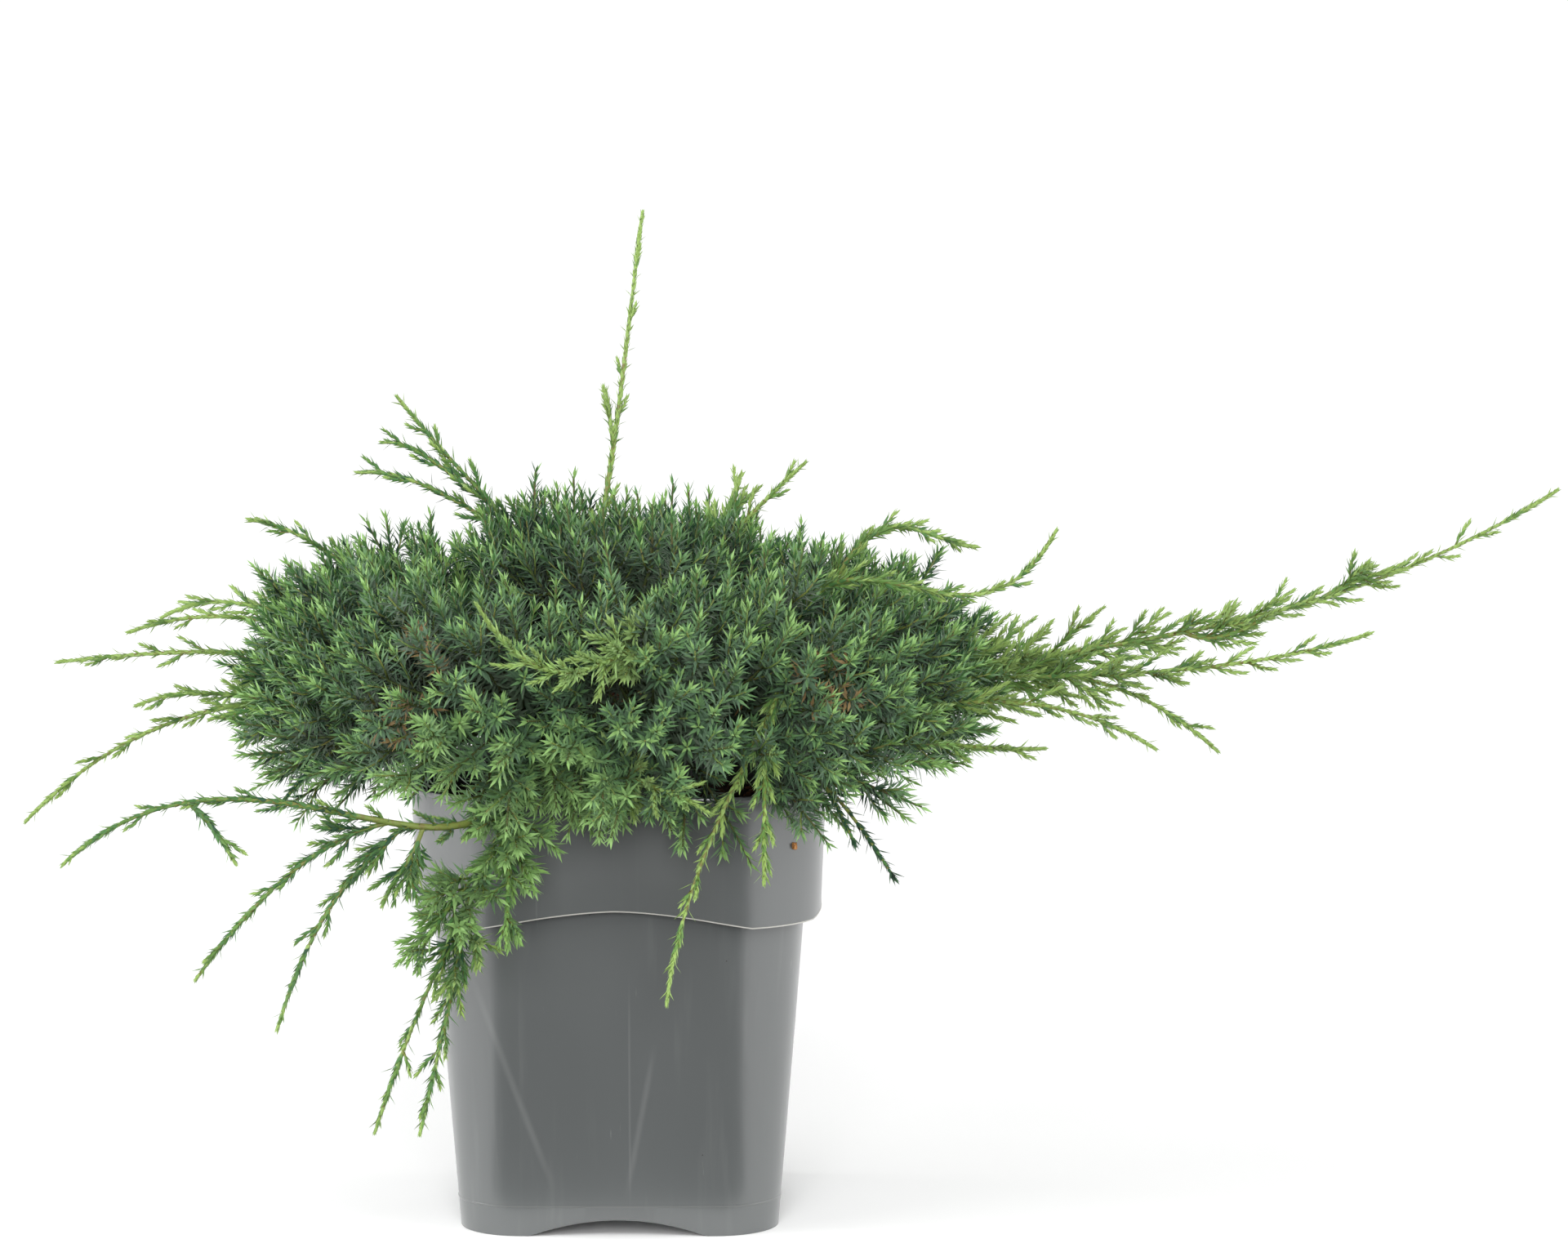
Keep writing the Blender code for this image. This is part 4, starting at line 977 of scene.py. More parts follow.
def branchlets_of(parents, each, lengths, first, last, chance):
    """Branchlets on twigs that are green for long enough, by the golden angle, shorter towards their tips.

    They fill the stretch from first to last, as shares of the green part.
    """
    green = parents.lengths() * (1 - parents.traits["first"])
    owner, order = deal(np.where(green > BRANCHLET_GREEN, each, 0))
    start = parents.traits["first"][owner]
    progress = first + (last - first) * (order + chance.uniform(0.1, 0.9, len(order))) / max(each, 1)
    share = start + (1 - start) * progress
    turn = order * GOLDEN_TURN + owner * 1.7 + chance.normal(0, 0.3, len(order))
    length = chance.uniform(*lengths, len(order)) * (1.15 - 0.5 * progress)
    splay = np.radians(chance.uniform(*BRANCHLET_SPLAY, len(order)))
    traits = {key: values[owner] for key, values in parents.traits.items()}
    traits["tone"] = traits["tone"] + 0.2 * progress + chance.normal(0, 0.06, len(order))
    traits["first"] = np.full(len(order), 0.05)
    return side_twigs(parents, owner, share, turn, length, splay, traits, BRANCHLET_RADII, lift=0.25)


def squeezed(points, azimuth, half, room):
    """The points, turned about the upright axis until they are this far inside their wedge's planes.

    At each reach the wedge's half angle is less by the angle whose sine is the room over the reach.
    """
    reach = np.hypot(points[:, 0], points[:, 1])
    off = np.arctan2(points[:, 1], points[:, 0]) - azimuth
    off = (off + math.pi) % TURN - math.pi
    widest = np.maximum(0, half - np.arcsin(np.minimum(1, room / np.maximum(reach, room))))
    turn = azimuth + np.clip(off, -widest, widest)
    return np.stack((reach * np.cos(turn), reach * np.sin(turn), points[:, 2]), -1)


def dome_level(reach):
    """The height of the mound's outline at this reach: a dome whose section is a flattened ellipse."""
    share = np.minimum(1.0, reach / DOME_RADIUS)
    return DOME_FOOT + DOME_RISE * np.sqrt(1 - share**DOME_POWER)


def off_the_pot(points, room):
    """True for points over the pot's rim, or beyond the rounded square of its walls, by this much room."""
    flat = BODY_TOP_HALF - BODY_TOP_CORNER
    beyond = np.hypot(*(np.maximum(np.abs(points[:, i]) - flat, 0) for i in (0, 1)))
    return (points[:, 2] > POT_HEIGHT + room) | (beyond > BODY_TOP_CORNER + BAND_LOW_OUT + room)


def hides(points, shoots):
    """True for points that hide the stretches of these shoots that show.

    Those are the points before a mark on one of them in Y and within the room from it in X and Z.
    """
    marks = shoots.at(np.arange(shoots.count)[:, None], np.linspace(LYING_FROM, LYING_TO, 12)[None, :])
    away = points[:, None] - marks.reshape(-1, 3)
    close = np.hypot(away[..., 0], away[..., 2]) < LYING_ROOM
    return (close & (away[..., 1] < 0)).any(1)


def between(points, azimuths):
    """True for points whose azimuth is between these two."""
    azimuth = np.arctan2(points[:, 1], points[:, 0])
    return (azimuth > azimuths[0]) & (azimuth < azimuths[1])


def heart_spots(masses, count):
    """Where sprays leave the heart of each mass, their way out of it, and the mass of each.

    Places are spread over a ball by the golden angle, at even steps of height, stretched to the heart and
    held inside the mass's wedge.
    """
    owner, order = deal([count] * len(masses))
    level = 1 - 2 * (order + 0.5) / count
    ring = np.sqrt(1 - level**2)
    turn = order * GOLDEN_TURN
    azimuth = np.radians([mass.azimuth for mass in masses])[owner]
    out = np.stack((np.cos(azimuth), np.sin(azimuth), np.zeros(len(owner))), -1)
    spread = np.stack((ring * np.cos(turn), ring * np.sin(turn), level), -1)
    spread = spread * np.array([mass.heart_half for mass in masses])[owner]
    heart = np.array([mass.heart for mass in masses])[owner]
    root = heart + out * spread[:, :1] + np.cross(UP, out) * spread[:, 1:2] + UP * spread[:, 2:]
    root = squeezed(root, azimuth, np.array([mass.half for mass in masses])[owner], HEART_EDGE)
    return root, unit(root - heart), owner


def spray_ways(root, chance):
    """The way in which the spray at each place grows, and how far it drapes over the rim, from 0 to 1.

    It leans out by a power of its reach and climbs evenly with its height, each a little unlike the next. As
    far as it drapes, its climb turns into a fall.
    """
    reach = np.hypot(root[:, 0], root[:, 1])[:, None]
    growth = root / reach * LEAN_OUT * (reach / DOME_RADIUS) ** LEAN_POWER
    growth[:, 2] = np.clip((root[:, 2] - CLIMB_FOOT) / CLIMB_SPAN, LEAST_CLIMB, 1)
    growth[:, :2] += chance.uniform(-1, 1, (len(root), 2)) * LEAN_CHANCE
    drape = np.clip((DRAPE_LEVEL - root[:, 2]) / DRAPE_SPAN, 0, 1) * between(root, DRAPE_AZIMUTHS)
    growth[:, 2] += (DRAPE_FALL - growth[:, 2]) * drape
    return unit(growth), drape


def spray_ends(root, growth, chance):
    """The tip of each spray, cut back along its growth where it stands over the mound's uneven outline."""
    length = SPRAY_LENGTH * chance.uniform(*SPRAY_LENGTHS, len(root))
    tip = root + growth * length[:, None]
    outline = dome_level(np.hypot(tip[:, 0], tip[:, 1])) + chance.normal(0, DOME_FUZZ, len(root))
    return tip - growth * np.clip(tip[:, 2] - outline, 0, length * DOME_CUT)[:, None]


def has_room(root, tip, middle, lying, chance):
    """True for sprays that clear the pot, its bare corner, the crown's middle and the shoots in LYING.

    Low on the sides a random share of them is left out.
    """
    waist = (root + tip) / 2
    room = ~between(tip, BARE_AZIMUTHS) | (tip[:, 2] > BARE_LEVEL)
    airy = AIRY_LOSS * np.clip((AIRY_LEVEL - tip[:, 2]) / AIRY_SPAN, 0, 1)
    room &= between(tip, FRONT_AZIMUTHS) | (chance.uniform(0, 1, len(tip)) > airy)
    room &= off_the_pot(tip, TIP_ROOM) & off_the_pot(waist, WAIST_ROOM) & off_the_pot(root, ROOT_ROOM)
    room &= middle | (np.hypot(tip[:, 0], tip[:, 1]) > MIDDLE_RADIUS)
    return room & ~(hides(tip, lying) | hides((tip + waist) / 2, lying))


def mound_twigs(masses, lying, sizes, chance):
    """Twigs from each fork up through the heart of its mass, each ending in a spray of the mound."""
    root, outward, owner = heart_spots(masses, sizes.mound_sprays)
    growth, drape = spray_ways(root, chance)
    tip = spray_ends(root, growth, chance)
    middle = np.array([mass.middle for mass in masses])[owner]
    keep = has_room(root, tip, middle, lying, chance) & ((growth * outward).sum(1) > LEAST_FACING)
    root, tip, growth, owner, drape = root[keep], tip[keep], growth[keep], owner[keep], drape[keep]
    fork = np.array([mass.fork for mass in masses])[owner]
    near = (fork + root) / 2 + UP * 3 * MM
    corners = np.stack((fork, near, root - growth * 4 * MM, tip - growth * 5 * MM), 1)
    # Painted shade: the higher a spray's tip stands, the darker the tone of its needles
    painted_crown_shade = np.clip((tip[:, 2] - SHADE_LEVEL) / SHADE_SPAN, 0, 1)
    traits = {
        "family": np.where(drape > 0.5, FAMILY_NAMES.index("plume"), FAMILY_NAMES.index("mound")),
        "tone": 0.14 - 0.12 * painted_crown_shade + DRAPE_LIGHTER * drape + chance.normal(0, 0.07, len(owner)),
        "first": 0,
        "near": MOUND_NEAR,
        "far": MOUND_FAR,
        "needle": sizes.needle_length,
        "whorl": sizes.whorl_gap,
    }
    twigs = Twigs(corners, MOUND_RADII, **traits)
    twigs.traits["first"] = 1 - np.minimum(0.8, GREEN_LENGTH / twigs.lengths())
    return twigs


class Growth:
    """All the twigs of the plant by kind."""

    def __init__(self, sizes):
        chance = np.random.default_rng(sizes.seed)
        self.masses = all_masses()
        self.stems, habits, lying = shoot_twigs(self.masses)
        self.cloth = shoot_cloth(self.stems)
        self.spikes = shoot_spikes(self.stems)
        self.sprays = shoot_sprays(self.stems, habits, chance)
        self.spray_tips = branchlets_of(self.sprays, SPRAY_BRANCHLETS, SPRAY_BRANCHLET, 0.1, 0.6, chance)
        self.mound = mound_twigs(self.masses, self.stems.some(lying), sizes, chance)
        self.branchlets = branchlets_of(self.mound, sizes.branchlets, MOUND_BRANCHLET, 0.3, 0.8, chance)


class Needles(NamedTuple):
    """Needles as arrays: root, way, outward side, length, width and number of the shade."""

    root: np.ndarray
    way: np.ndarray
    out: np.ndarray
    length: np.ndarray
    width: np.ndarray
    shade: np.ndarray


def in_dead_spot(points):
    """True for points within a withered patch."""
    away = np.linalg.norm(points[:, None] - DEAD_SPOTS, axis=2)
    return away.min(1) < DEAD_REACH


def whorled(twigs, sizes, chance, rise, power=1.3, breadth=1.0, hold=1.4):
    """Needles in whorls of three along the green part of the twigs, each whorl a sixth of a turn on.

    A needle's angle to its twig goes from near to far by the power hold of the share of the way to the tip,
    and its shade goes from the twig's tone up by rise at the tip, by the other power. That rise is partly the
    younger needles' own lighter colour and partly painted shade, which darkens the needles near the root,
    deep in the foliage. Breadth makes them wider.
    """
    traits = twigs.traits
    green = twigs.lengths() * (1 - traits["first"])
    counts = np.maximum(2, np.round(green / traits["whorl"])).astype(int)
    whorl_owner, whorl = deal(counts)
    owner, corner = np.repeat(whorl_owner, 3), np.tile(np.arange(3), len(whorl_owner))
    whorl = np.repeat(whorl, 3)
    progress = (whorl + 0.6) / counts[owner]
    share = traits["first"][owner] + (1 - traits["first"][owner]) * progress
    turn = corner * TURN / 3 + whorl * TURN / 6 + owner * 2.4 + chance.normal(0, 0.16, len(owner))
    growth, out = twigs.outward(owner, share, turn)
    angle = traits["near"][owner] + (traits["far"] - traits["near"])[owner] * progress**hold
    way = tilted(growth, out, angle * chance.uniform(0.78, 1.22, len(owner)))
    root = twigs.at(owner, share) + out * (twigs.radius(owner, share) * 0.5)[:, None]
    length = traits["needle"][owner] * (1.04 - 0.3 * progress**3) * chance.uniform(0.82, 1.12, len(owner))
    width = sizes.needle_width * breadth * (length / sizes.needle_length) ** 0.35
    width = width * chance.uniform(0.85, 1.15, len(owner))
    level = traits["tone"][owner] + rise * progress**power + chance.normal(0, 0.09, len(owner))
    column = np.clip((level * 4).astype(int), 0, 3)
    shade = SHADE_TABLE[traits["family"][owner].astype(int), column]
    dead = in_dead_spot(root) & (chance.uniform(0, 1, len(owner)) < DEAD_SHARE)
    return Needles(root, way, out, length, width, np.where(dead, SHADES.index("brown"), shade))


def withered(twigs, sizes, chance):
    """Old needles strewn on the inner part of the mound's twigs, splayed wide: dark, partly as painted shade
    inside the mound, and dead in patches.
    """
    owner, _ = deal(np.full(twigs.count, OLD_NEEDLES))
    share = chance.uniform(0.2, 1, len(owner)) * twigs.traits["first"][owner]
    turn = chance.uniform(0, TURN, len(owner))
    growth, out = twigs.outward(owner, share, turn)
    way = tilted(growth, out, np.radians(chance.uniform(50, 85, len(owner))))
    length = sizes.needle_length * chance.uniform(0.8, 1.15, len(owner))
    width = np.full(len(owner), sizes.needle_width)
    root = twigs.at(owner, share)
    dead = chance.uniform(0, 1, len(owner)) < np.where(in_dead_spot(root), 1, DEAD_INSIDE)
    # Deep and blue: partly the old needles' own colour and partly painted shade inside the mound
    shade = np.where(chance.uniform(0, 1, len(owner)) < 0.5, SHADES.index("deep"), SHADES.index("blue"))
    shade = np.where(dead, SHADES.index("brown"), shade)
    return Needles(root, way, out, length, width, shade)


def needle_points(needles):
    """Points of the needles: root, left and right of the hollow waist, and tip, with a keel from root to tip.

    The waist is a share of the length along, half the width to either side, and sunk by a share of the width.
    """
    across = unit(np.cross(needles.way, needles.out))
    back = np.cross(across, needles.way)
    length, width = needles.length[:, None], needles.width[:, None]
    waist = needles.root + needles.way * length * WAIST_SHARE - back * width * HOLLOW_SHARE
    left = waist - across * width / 2
    right = waist + across * width / 2
    tip = needles.root + needles.way * length
    return np.stack((needles.root, left, right, tip), 1)


# Faces of a needle and the slot of each: two on its inner side, which has the bloom, and two on its back
NEEDLE_FACES = np.array(((0, 1, 2), (3, 2, 1), (0, 3, 1), (0, 2, 3)))
NEEDLE_SLOTS = np.array((1, 1, 0, 0))


def needle_pieces(name, needles, materials):
    """Pieces of joined needles, each under the limit of triangles."""
    points = needle_points(needles)
    pieces = math.ceil(len(points) * len(NEEDLE_FACES) / MOST_TRIANGLES)
    made = []
    for i, part in enumerate(np.array_split(points, pieces)):
        faces = NEEDLE_FACES + np.arange(len(part))[:, None, None] * 4
        slots = np.tile(NEEDLE_SLOTS, len(part))
        piece = new_piece(f"{name}_{i + 1}", part.reshape(-1, 3), faces.reshape(-1, 3), materials, slots)
        made.append(piece)
    return made


def square_rows(half, corner):
    """X and Y of rings of a square with round corners, one ring for each half width and corner radius.

    Each quarter is an arc and then a straight side.
    """
    half, corner = np.asarray(half)[:, None], np.asarray(corner)[:, None]
    angle = np.arange(CORNER_STEPS) / CORNER_STEPS * math.pi / 2
    side = 1 - 2 * np.arange(SIDE_STEPS) / SIDE_STEPS
    flat = half - corner
    x = np.concatenate((flat + corner * np.cos(angle), flat * side), 1)
    y = np.concatenate((flat + corner * np.sin(angle), half + 0 * side), 1)
    return np.concatenate((x, -y, -x, y), 1), np.concatenate((y, x, -y, -x), 1)


def arched(x, y, rise, half, power):
    """How far an arch over the middle of each side lifts these points.

    It is the rise, less the rise times this power of the distance from the side's middle as a share of half.
    """
    along = np.minimum(1, np.minimum(np.abs(x), np.abs(y)) / half)
    return rise * (1 - along**power)


def pot_size(height):
    """Half width and corner radius of the pot's body at this height, evenly between its foot and its rim."""
    share = height / POT_HEIGHT
    half = FOOT_HALF + (BODY_TOP_HALF - FOOT_HALF) * share
    return half, FOOT_CORNER + (BODY_TOP_CORNER - FOOT_CORNER) * share


def band_out(height):
    """How far the band stands out at this height, evenly between its lower edge and the lip."""
    share = (height - BAND_LOW) / (LIP_FOOT - BAND_LOW)
    return BAND_LOW_OUT + (BAND_TOP_OUT - BAND_LOW_OUT) * share


class Row(NamedTuple):
    """One ring of the pot: height, how far out of the body, shares of the band's and of the foot's arch, and
    pale, the share of painted highlight on an edge, which is -1 where the plastic is black."""

    height: float
    out: float
    wave: float = 0.0
    foot: float = 0.0
    pale: float = 0.0


def foot_rows():
    """Rings from the raised floor down the inside of the foot and round its edge."""
    return [
        Row(FLOOR_UNDER, -WALL),
        Row(0, -WALL, foot=1),
        Row(0, -WALL + ROUNDED_EDGE, foot=1),
        Row(0, -ROUNDED_EDGE, foot=1),
        Row(0.25 * ROUNDED_EDGE, -0.25 * ROUNDED_EDGE, foot=1),
        Row(ROUNDED_EDGE, 0, foot=1),
    ]


def wall_rows():
    """Rings up the outer wall: the mould line with a painted highlight, then the wall as it takes on the arch
    of the band's edge, whose underside has a faint painted highlight.
    """
    line, ridge = MOULD_LINE, MOULD_LINE_OUT
    return [
        Row(line - 2 * ridge, 0),
        Row(line - ridge, ridge, pale=MOULD_LINE_HIGHLIGHT),
        Row(line + ridge, ridge, pale=MOULD_LINE_HIGHLIGHT),
        Row(line + 2 * ridge, 0),
        Row(45 * MM, 0),
        Row(85 * MM, 0),
        Row(112 * MM, 0, wave=0.6),
        Row(BAND_LOW - 0.6 * MM, 0, wave=1),
        Row(BAND_LOW - 0.15 * MM, 0.5 * MM, wave=1),
        Row(BAND_LOW, BAND_LOW_OUT - 0.6 * MM, wave=1, pale=0.3),
    ]


def band_rows():
    """Rings up the band: the bead on its lower edge with a painted highlight, then its face as the arch in it
    fades.
    """
    low, bead, out = BAND_LOW, BEAD_HEIGHT, band_out(BAND_LOW)
    return [
        Row(low + 0.15 * bead, out + 0.6 * BEAD_OUT, wave=1, pale=1),
        Row(low + 0.5 * bead, out + BEAD_OUT, wave=1, pale=1),
        Row(low + 0.85 * bead, out + 0.6 * BEAD_OUT, wave=1, pale=1),
        Row(low + bead, out, wave=1, pale=0.2),
        Row(low + 2 * bead, out, wave=0.97),
        Row(low + 18 * MM, band_out(low + 18 * MM), wave=0.62),
        Row(low + 36 * MM, band_out(low + 36 * MM), wave=0.28),
    ]


def lip_rows():
    """Rings round the lip: out, up its edge with a faint painted highlight, over its top and in to the wall's
    inner side, where the plastic is black.
    """
    return [
        Row(LIP_FOOT, BAND_TOP_OUT),
        Row(LIP_FOOT + 0.3 * LIP_OUT, BAND_TOP_OUT + 0.7 * LIP_OUT, pale=0.1),
        Row(LIP_FOOT + LIP_OUT, BAND_TOP_OUT + LIP_OUT, pale=0.1),
        Row(POT_HEIGHT - 0.5 * LIP_OUT, BAND_TOP_OUT + LIP_OUT),
        Row(POT_HEIGHT - 0.12 * LIP_OUT, BAND_TOP_OUT + 0.8 * LIP_OUT),
        Row(POT_HEIGHT, BAND_TOP_OUT + 0.4 * LIP_OUT, pale=-0.6),
        Row(POT_HEIGHT, BAND_TOP_OUT - WALL + ROUNDED_EDGE, pale=-1),
        Row(POT_HEIGHT - ROUNDED_EDGE, BAND_TOP_OUT - WALL, pale=-1),
    ]


def inside_rows():
    """Rings down the black inside, one wall in from the outside, to the floor."""
    high = BAND_LOW + 36 * MM
    return [
        Row(high, band_out(high) - WALL, wave=0.28, pale=-1),
        Row(BAND_LOW + 3 * MM, BAND_LOW_OUT - WALL, wave=1, pale=-1),
        Row(BAND_LOW - 1 * MM, -WALL, wave=1, pale=-1),
        Row(85 * MM, -WALL, pale=-1),
        Row(FLOOR_UNDER + FLOOR_THICK, -WALL, pale=-1),
    ]


def make_pot_shell(colours):
    """The pot: rings of a rounded square carried up its profile, closed by its middle foot and its floor."""
    rows = foot_rows() + wall_rows() + band_rows() + lip_rows() + inside_rows()
    height, out, wave, foot, pale = (np.array(column) for column in zip(*rows))
    half, corner = pot_size(height)
    x, y = square_rows(half + out, corner + out)
    z = height[:, None] + arched(x, y, wave[:, None] * BAND_ARCH, BAND_ARCH_HALF, BAND_ARCH_POWER)
    z = z + arched(x, y, foot[:, None] * FOOT_ARCH, FOOT_ARCH_HALF, FOOT_ARCH_POWER)
    foot_x, foot_y = square_rows(np.full(2, MIDDLE_FOOT_HALF), np.full(2, MIDDLE_FOOT_CORNER))
    foot_z = np.broadcast_to(np.array((0, FLOOR_UNDER))[:, None], foot_x.shape)
    rings = np.concatenate((np.stack((foot_x, foot_y, foot_z), -1), np.stack((x, y, z), -1)))
    sides = rings.shape[1]
    ends = np.array(((0, 0, 0), (0, 0, FLOOR_UNDER + FLOOR_THICK)))
    points = np.concatenate((rings.reshape(-1, 3), ends))
    shell = new_piece("pot_shell", points, tube_faces(len(rings), sides), [pot_paint(colours)], smooth=True)
    # Painted highlight on the pot's edges and the black plastic inside, carried by each ring as a point
    # attribute
    paleness = np.concatenate((np.zeros(2 * sides), np.repeat(pale, sides), np.zeros(2)))
    attribute = shell.data.attributes.new("paleness", "FLOAT", "POINT")
    attribute.data.foreach_set("value", paleness.astype(np.float32))
    cut_drains(shell)
    shell.data.set_sharp_from_angle(angle=SHARP_FROM)
    return finish_piece(shell, "pot", "pot")


def cut_drains(shell):
    """Cuts the drain holes through the floor, one under each corner, and applies the cut."""
    turns = np.arange(DRAIN_COUNT) * TURN / DRAIN_COUNT + TURN / 8
    spots = np.stack((np.cos(turns), np.sin(turns)), -1) * DRAIN_RING
    low, high = FLOOR_UNDER - FLOOR_THICK, FLOOR_UNDER + 2 * FLOOR_THICK
    corners = np.array([[(*spot, low + (high - low) * i / 3) for i in range(4)] for spot in spots])
    points, faces = tubes(Twigs(corners, (DRAIN_RADIUS, DRAIN_RADIUS)), 2, DRAIN_SIDES)
    cutter = new_piece("drain_cutter", points, faces, [])
    cut = shell.modifiers.new("drains", "BOOLEAN")
    cut.operation = "DIFFERENCE"
    cut.object = cutter
    done = bpy.data.meshes.new_from_object(shell.evaluated_get(bpy.context.evaluated_depsgraph_get()))
    shell.modifiers.clear()
    shell.data = done
    bpy.data.objects.remove(cutter)


def soil_relief(x, y):
    """The soil's height over its level at these places: a bell-shaped heap at the trunk, lumps and crumbs."""
    spots = np.stack((x, y, 0 * x), -1)
    heap = SOIL_HEAP * np.exp(-(np.hypot(x, y) / SOIL_HEAP_REACH) ** 2)
    lumps = SOIL_LUMP * ripple(spots, SOIL_LUMP_SIZE, 3)
    return heap + lumps + SOIL_CRUMB * ripple(spots, SOIL_CRUMB_SIZE, 4)


def make_soil_plug(colours):
    """The soil: rings of the pot's inner section up the wall, then drawn in to the middle with its relief."""
    low = FLOOR_UNDER + FLOOR_THICK + SOIL_GAP
    inside = -WALL - SOIL_GAP
    height = np.array((low, BAND_LOW - 1.2 * MM, BAND_LOW + 4.8 * MM, SOIL_LEVEL - 1.5 * MM))
    out = np.array((inside, inside, BAND_TOP_OUT + inside, BAND_TOP_OUT + inside))
    wave = np.array((0, 1, 1, 0))
    half, corner = pot_size(height)
    x, y = square_rows(half + out, corner + out)
    z = height[:, None] + arched(x, y, wave[:, None] * BAND_ARCH, BAND_ARCH_HALF, BAND_ARCH_POWER)
    inwards = np.linspace(1, 0.02, SOIL_RINGS)[:, None]
    top_x, top_y = x[-1] * inwards, y[-1] * inwards
    top_z = SOIL_LEVEL + soil_relief(top_x, top_y) - SOIL_EDGE_DROP * inwards**8
    rings = np.stack([np.concatenate(pair) for pair in ((x, top_x), (y, top_y), (z, top_z))], -1)
    ends = np.array(((0, 0, low), (0, 0, top_z[-1].mean())))
    points = np.concatenate((rings.reshape(-1, 3), ends))
    faces = tube_faces(*rings.shape[:2])
    plug = new_piece("soil_plug", points, faces, [soil_paint(colours)], smooth=True)
    return finish_piece(plug, "soil", "soil")


# A cube's corners and faces
CUBE = np.array((
    (-1, -1, -1), (1, -1, -1), (1, 1, -1), (-1, 1, -1), (-1, -1, 1), (1, -1, 1), (1, 1, 1), (-1, 1, 1),
))
CUBE_FACES = np.array((
    (0, 2, 1), (0, 3, 2), (4, 5, 6), (4, 6, 7), (0, 1, 5), (0, 5, 4),
    (1, 2, 6), (1, 6, 5), (2, 3, 7), (2, 7, 6), (3, 0, 4), (3, 4, 7),
))


def turned(points, chance):
    """Each group of points, turned at random about its own middle, mostly about the upright."""
    yaw = chance.uniform(0, TURN, len(points))
    tilt = chance.normal(0, 0.45, len(points))
    x, y, z = np.moveaxis(points, -1, 0)
    cos, sin = np.cos(tilt)[:, None], np.sin(tilt)[:, None]
    x, z = x * cos + z * sin, z * cos - x * sin
    cos, sin = np.cos(yaw)[:, None], np.sin(yaw)[:, None]
    return np.stack((x * cos - y * sin, x * sin + y * cos, z), -1)


def make_chips(colours, seed):
    """Bark chips: rough blocks with uneven corners, strewn over the soil by the golden angle."""
    chance = np.random.default_rng(seed)
    order = np.arange(CHIP_COUNT)
    reach = np.sqrt((order + 0.5) / CHIP_COUNT) * CHIP_REACH
    spots = np.stack((reach * np.cos(order * GOLDEN_TURN), reach * np.sin(order * GOLDEN_TURN)), -1)
    size = np.array(CHIP_SIZE) * chance.uniform(0.35, 1.0, (CHIP_COUNT, 1, 1)) / 2
    blocks = (CUBE + chance.uniform(-0.35, 0.35, (CHIP_COUNT, 8, 3))) * size
    blocks = turned(blocks, chance)
    ground = SOIL_LEVEL + soil_relief(spots[:, 0], spots[:, 1])
    points = blocks + np.concatenate((spots, ground[:, None]), 1)[:, None]
    faces = CUBE_FACES + order[:, None, None] * 8
    piece = new_piece("bark_chips", points.reshape(-1, 3), faces.reshape(-1, 3), [chip_paint(colours)])
    return finish_piece(piece, "soil")


def make_crumb():
    """A light brown crumb on the band, to the right of its front: a few blocks where the round corner is."""
    chance = np.random.default_rng(8)
    half, corner = pot_size(CRUMB_Z)
    half, corner = half + band_out(CRUMB_Z), corner + band_out(CRUMB_Z)
    flat = half - corner
    face = -(flat + math.sqrt(corner**2 - (CRUMB_X - flat) ** 2))
    spot = np.array((CRUMB_X, face - 0.3 * MM, CRUMB_Z))
    blocks = (CUBE + chance.uniform(-0.45, 0.45, (CRUMB_BLOCKS, 8, 3))) * CRUMB_SIZE
    blocks = turned(blocks, chance)
    strewn = chance.uniform(-0.6, 0.6, (CRUMB_BLOCKS, 1, 3)) * np.array((1, 0.1, 1)) * MM
    points = blocks + spot + strewn
    faces = CUBE_FACES + np.arange(CRUMB_BLOCKS)[:, None, None] * 8
    piece = new_piece("crumb", points.reshape(-1, 3), faces.reshape(-1, 3), [crumb_paint()])
    return finish_piece(piece, "soil")


def make_trunk_bark(colours):
    """The trunk: rings of its taper up its lean, with bark relief in the radius and lobes that fade out."""
    shares = np.linspace(0, 1, TRUNK_RINGS)
    turn = np.arange(TRUNK_SIDES) * TURN / TRUNK_SIDES
    out = np.stack((np.cos(turn), np.sin(turn), 0 * turn), -1)
    points = trunk_point(shares)[:, None] + out * trunk_radius(shares)[:, None, None]
    lobes = TRUNK_LOBE_SHARE * (1 - shares[:, None]) ** 3 * np.cos(TRUNK_LOBES * turn + 1)
    relief = TRUNK_RELIEF * ripple(points * (1, 1, 0.25), TRUNK_RELIEF_SIZE, 6)
    points = points + out * (relief + trunk_radius(shares)[:, None] * lobes)[..., None]
    ends = trunk_point(np.array((0.0, 1.0)))
    points = np.concatenate((points.reshape(-1, 3), ends))
    faces = tube_faces(TRUNK_RINGS, TRUNK_SIDES)
    piece = new_piece("trunk_bark", points, faces, [bark_paint(colours)], smooth=True)
    return finish_piece(piece, "bark", "trunk")


def make_bough_bark(masses):
    """The boughs: tubes with bark relief, from the trunk to where their masses start, in the trunk's bark."""
    boughs = Twigs([mass.bough for mass in masses], (BOUGH_ROOT_RADIUS, BOUGH_TIP_RADIUS))
    points, faces = tubes(boughs, BOUGH_RINGS, BOUGH_SIDES, BOUGH_RELIEF)
    piece = new_piece("bough_bark", points, faces, [bpy.data.materials["old_bark"]], smooth=True)
    return finish_piece(piece, "bark", *BOUGH_NODES)


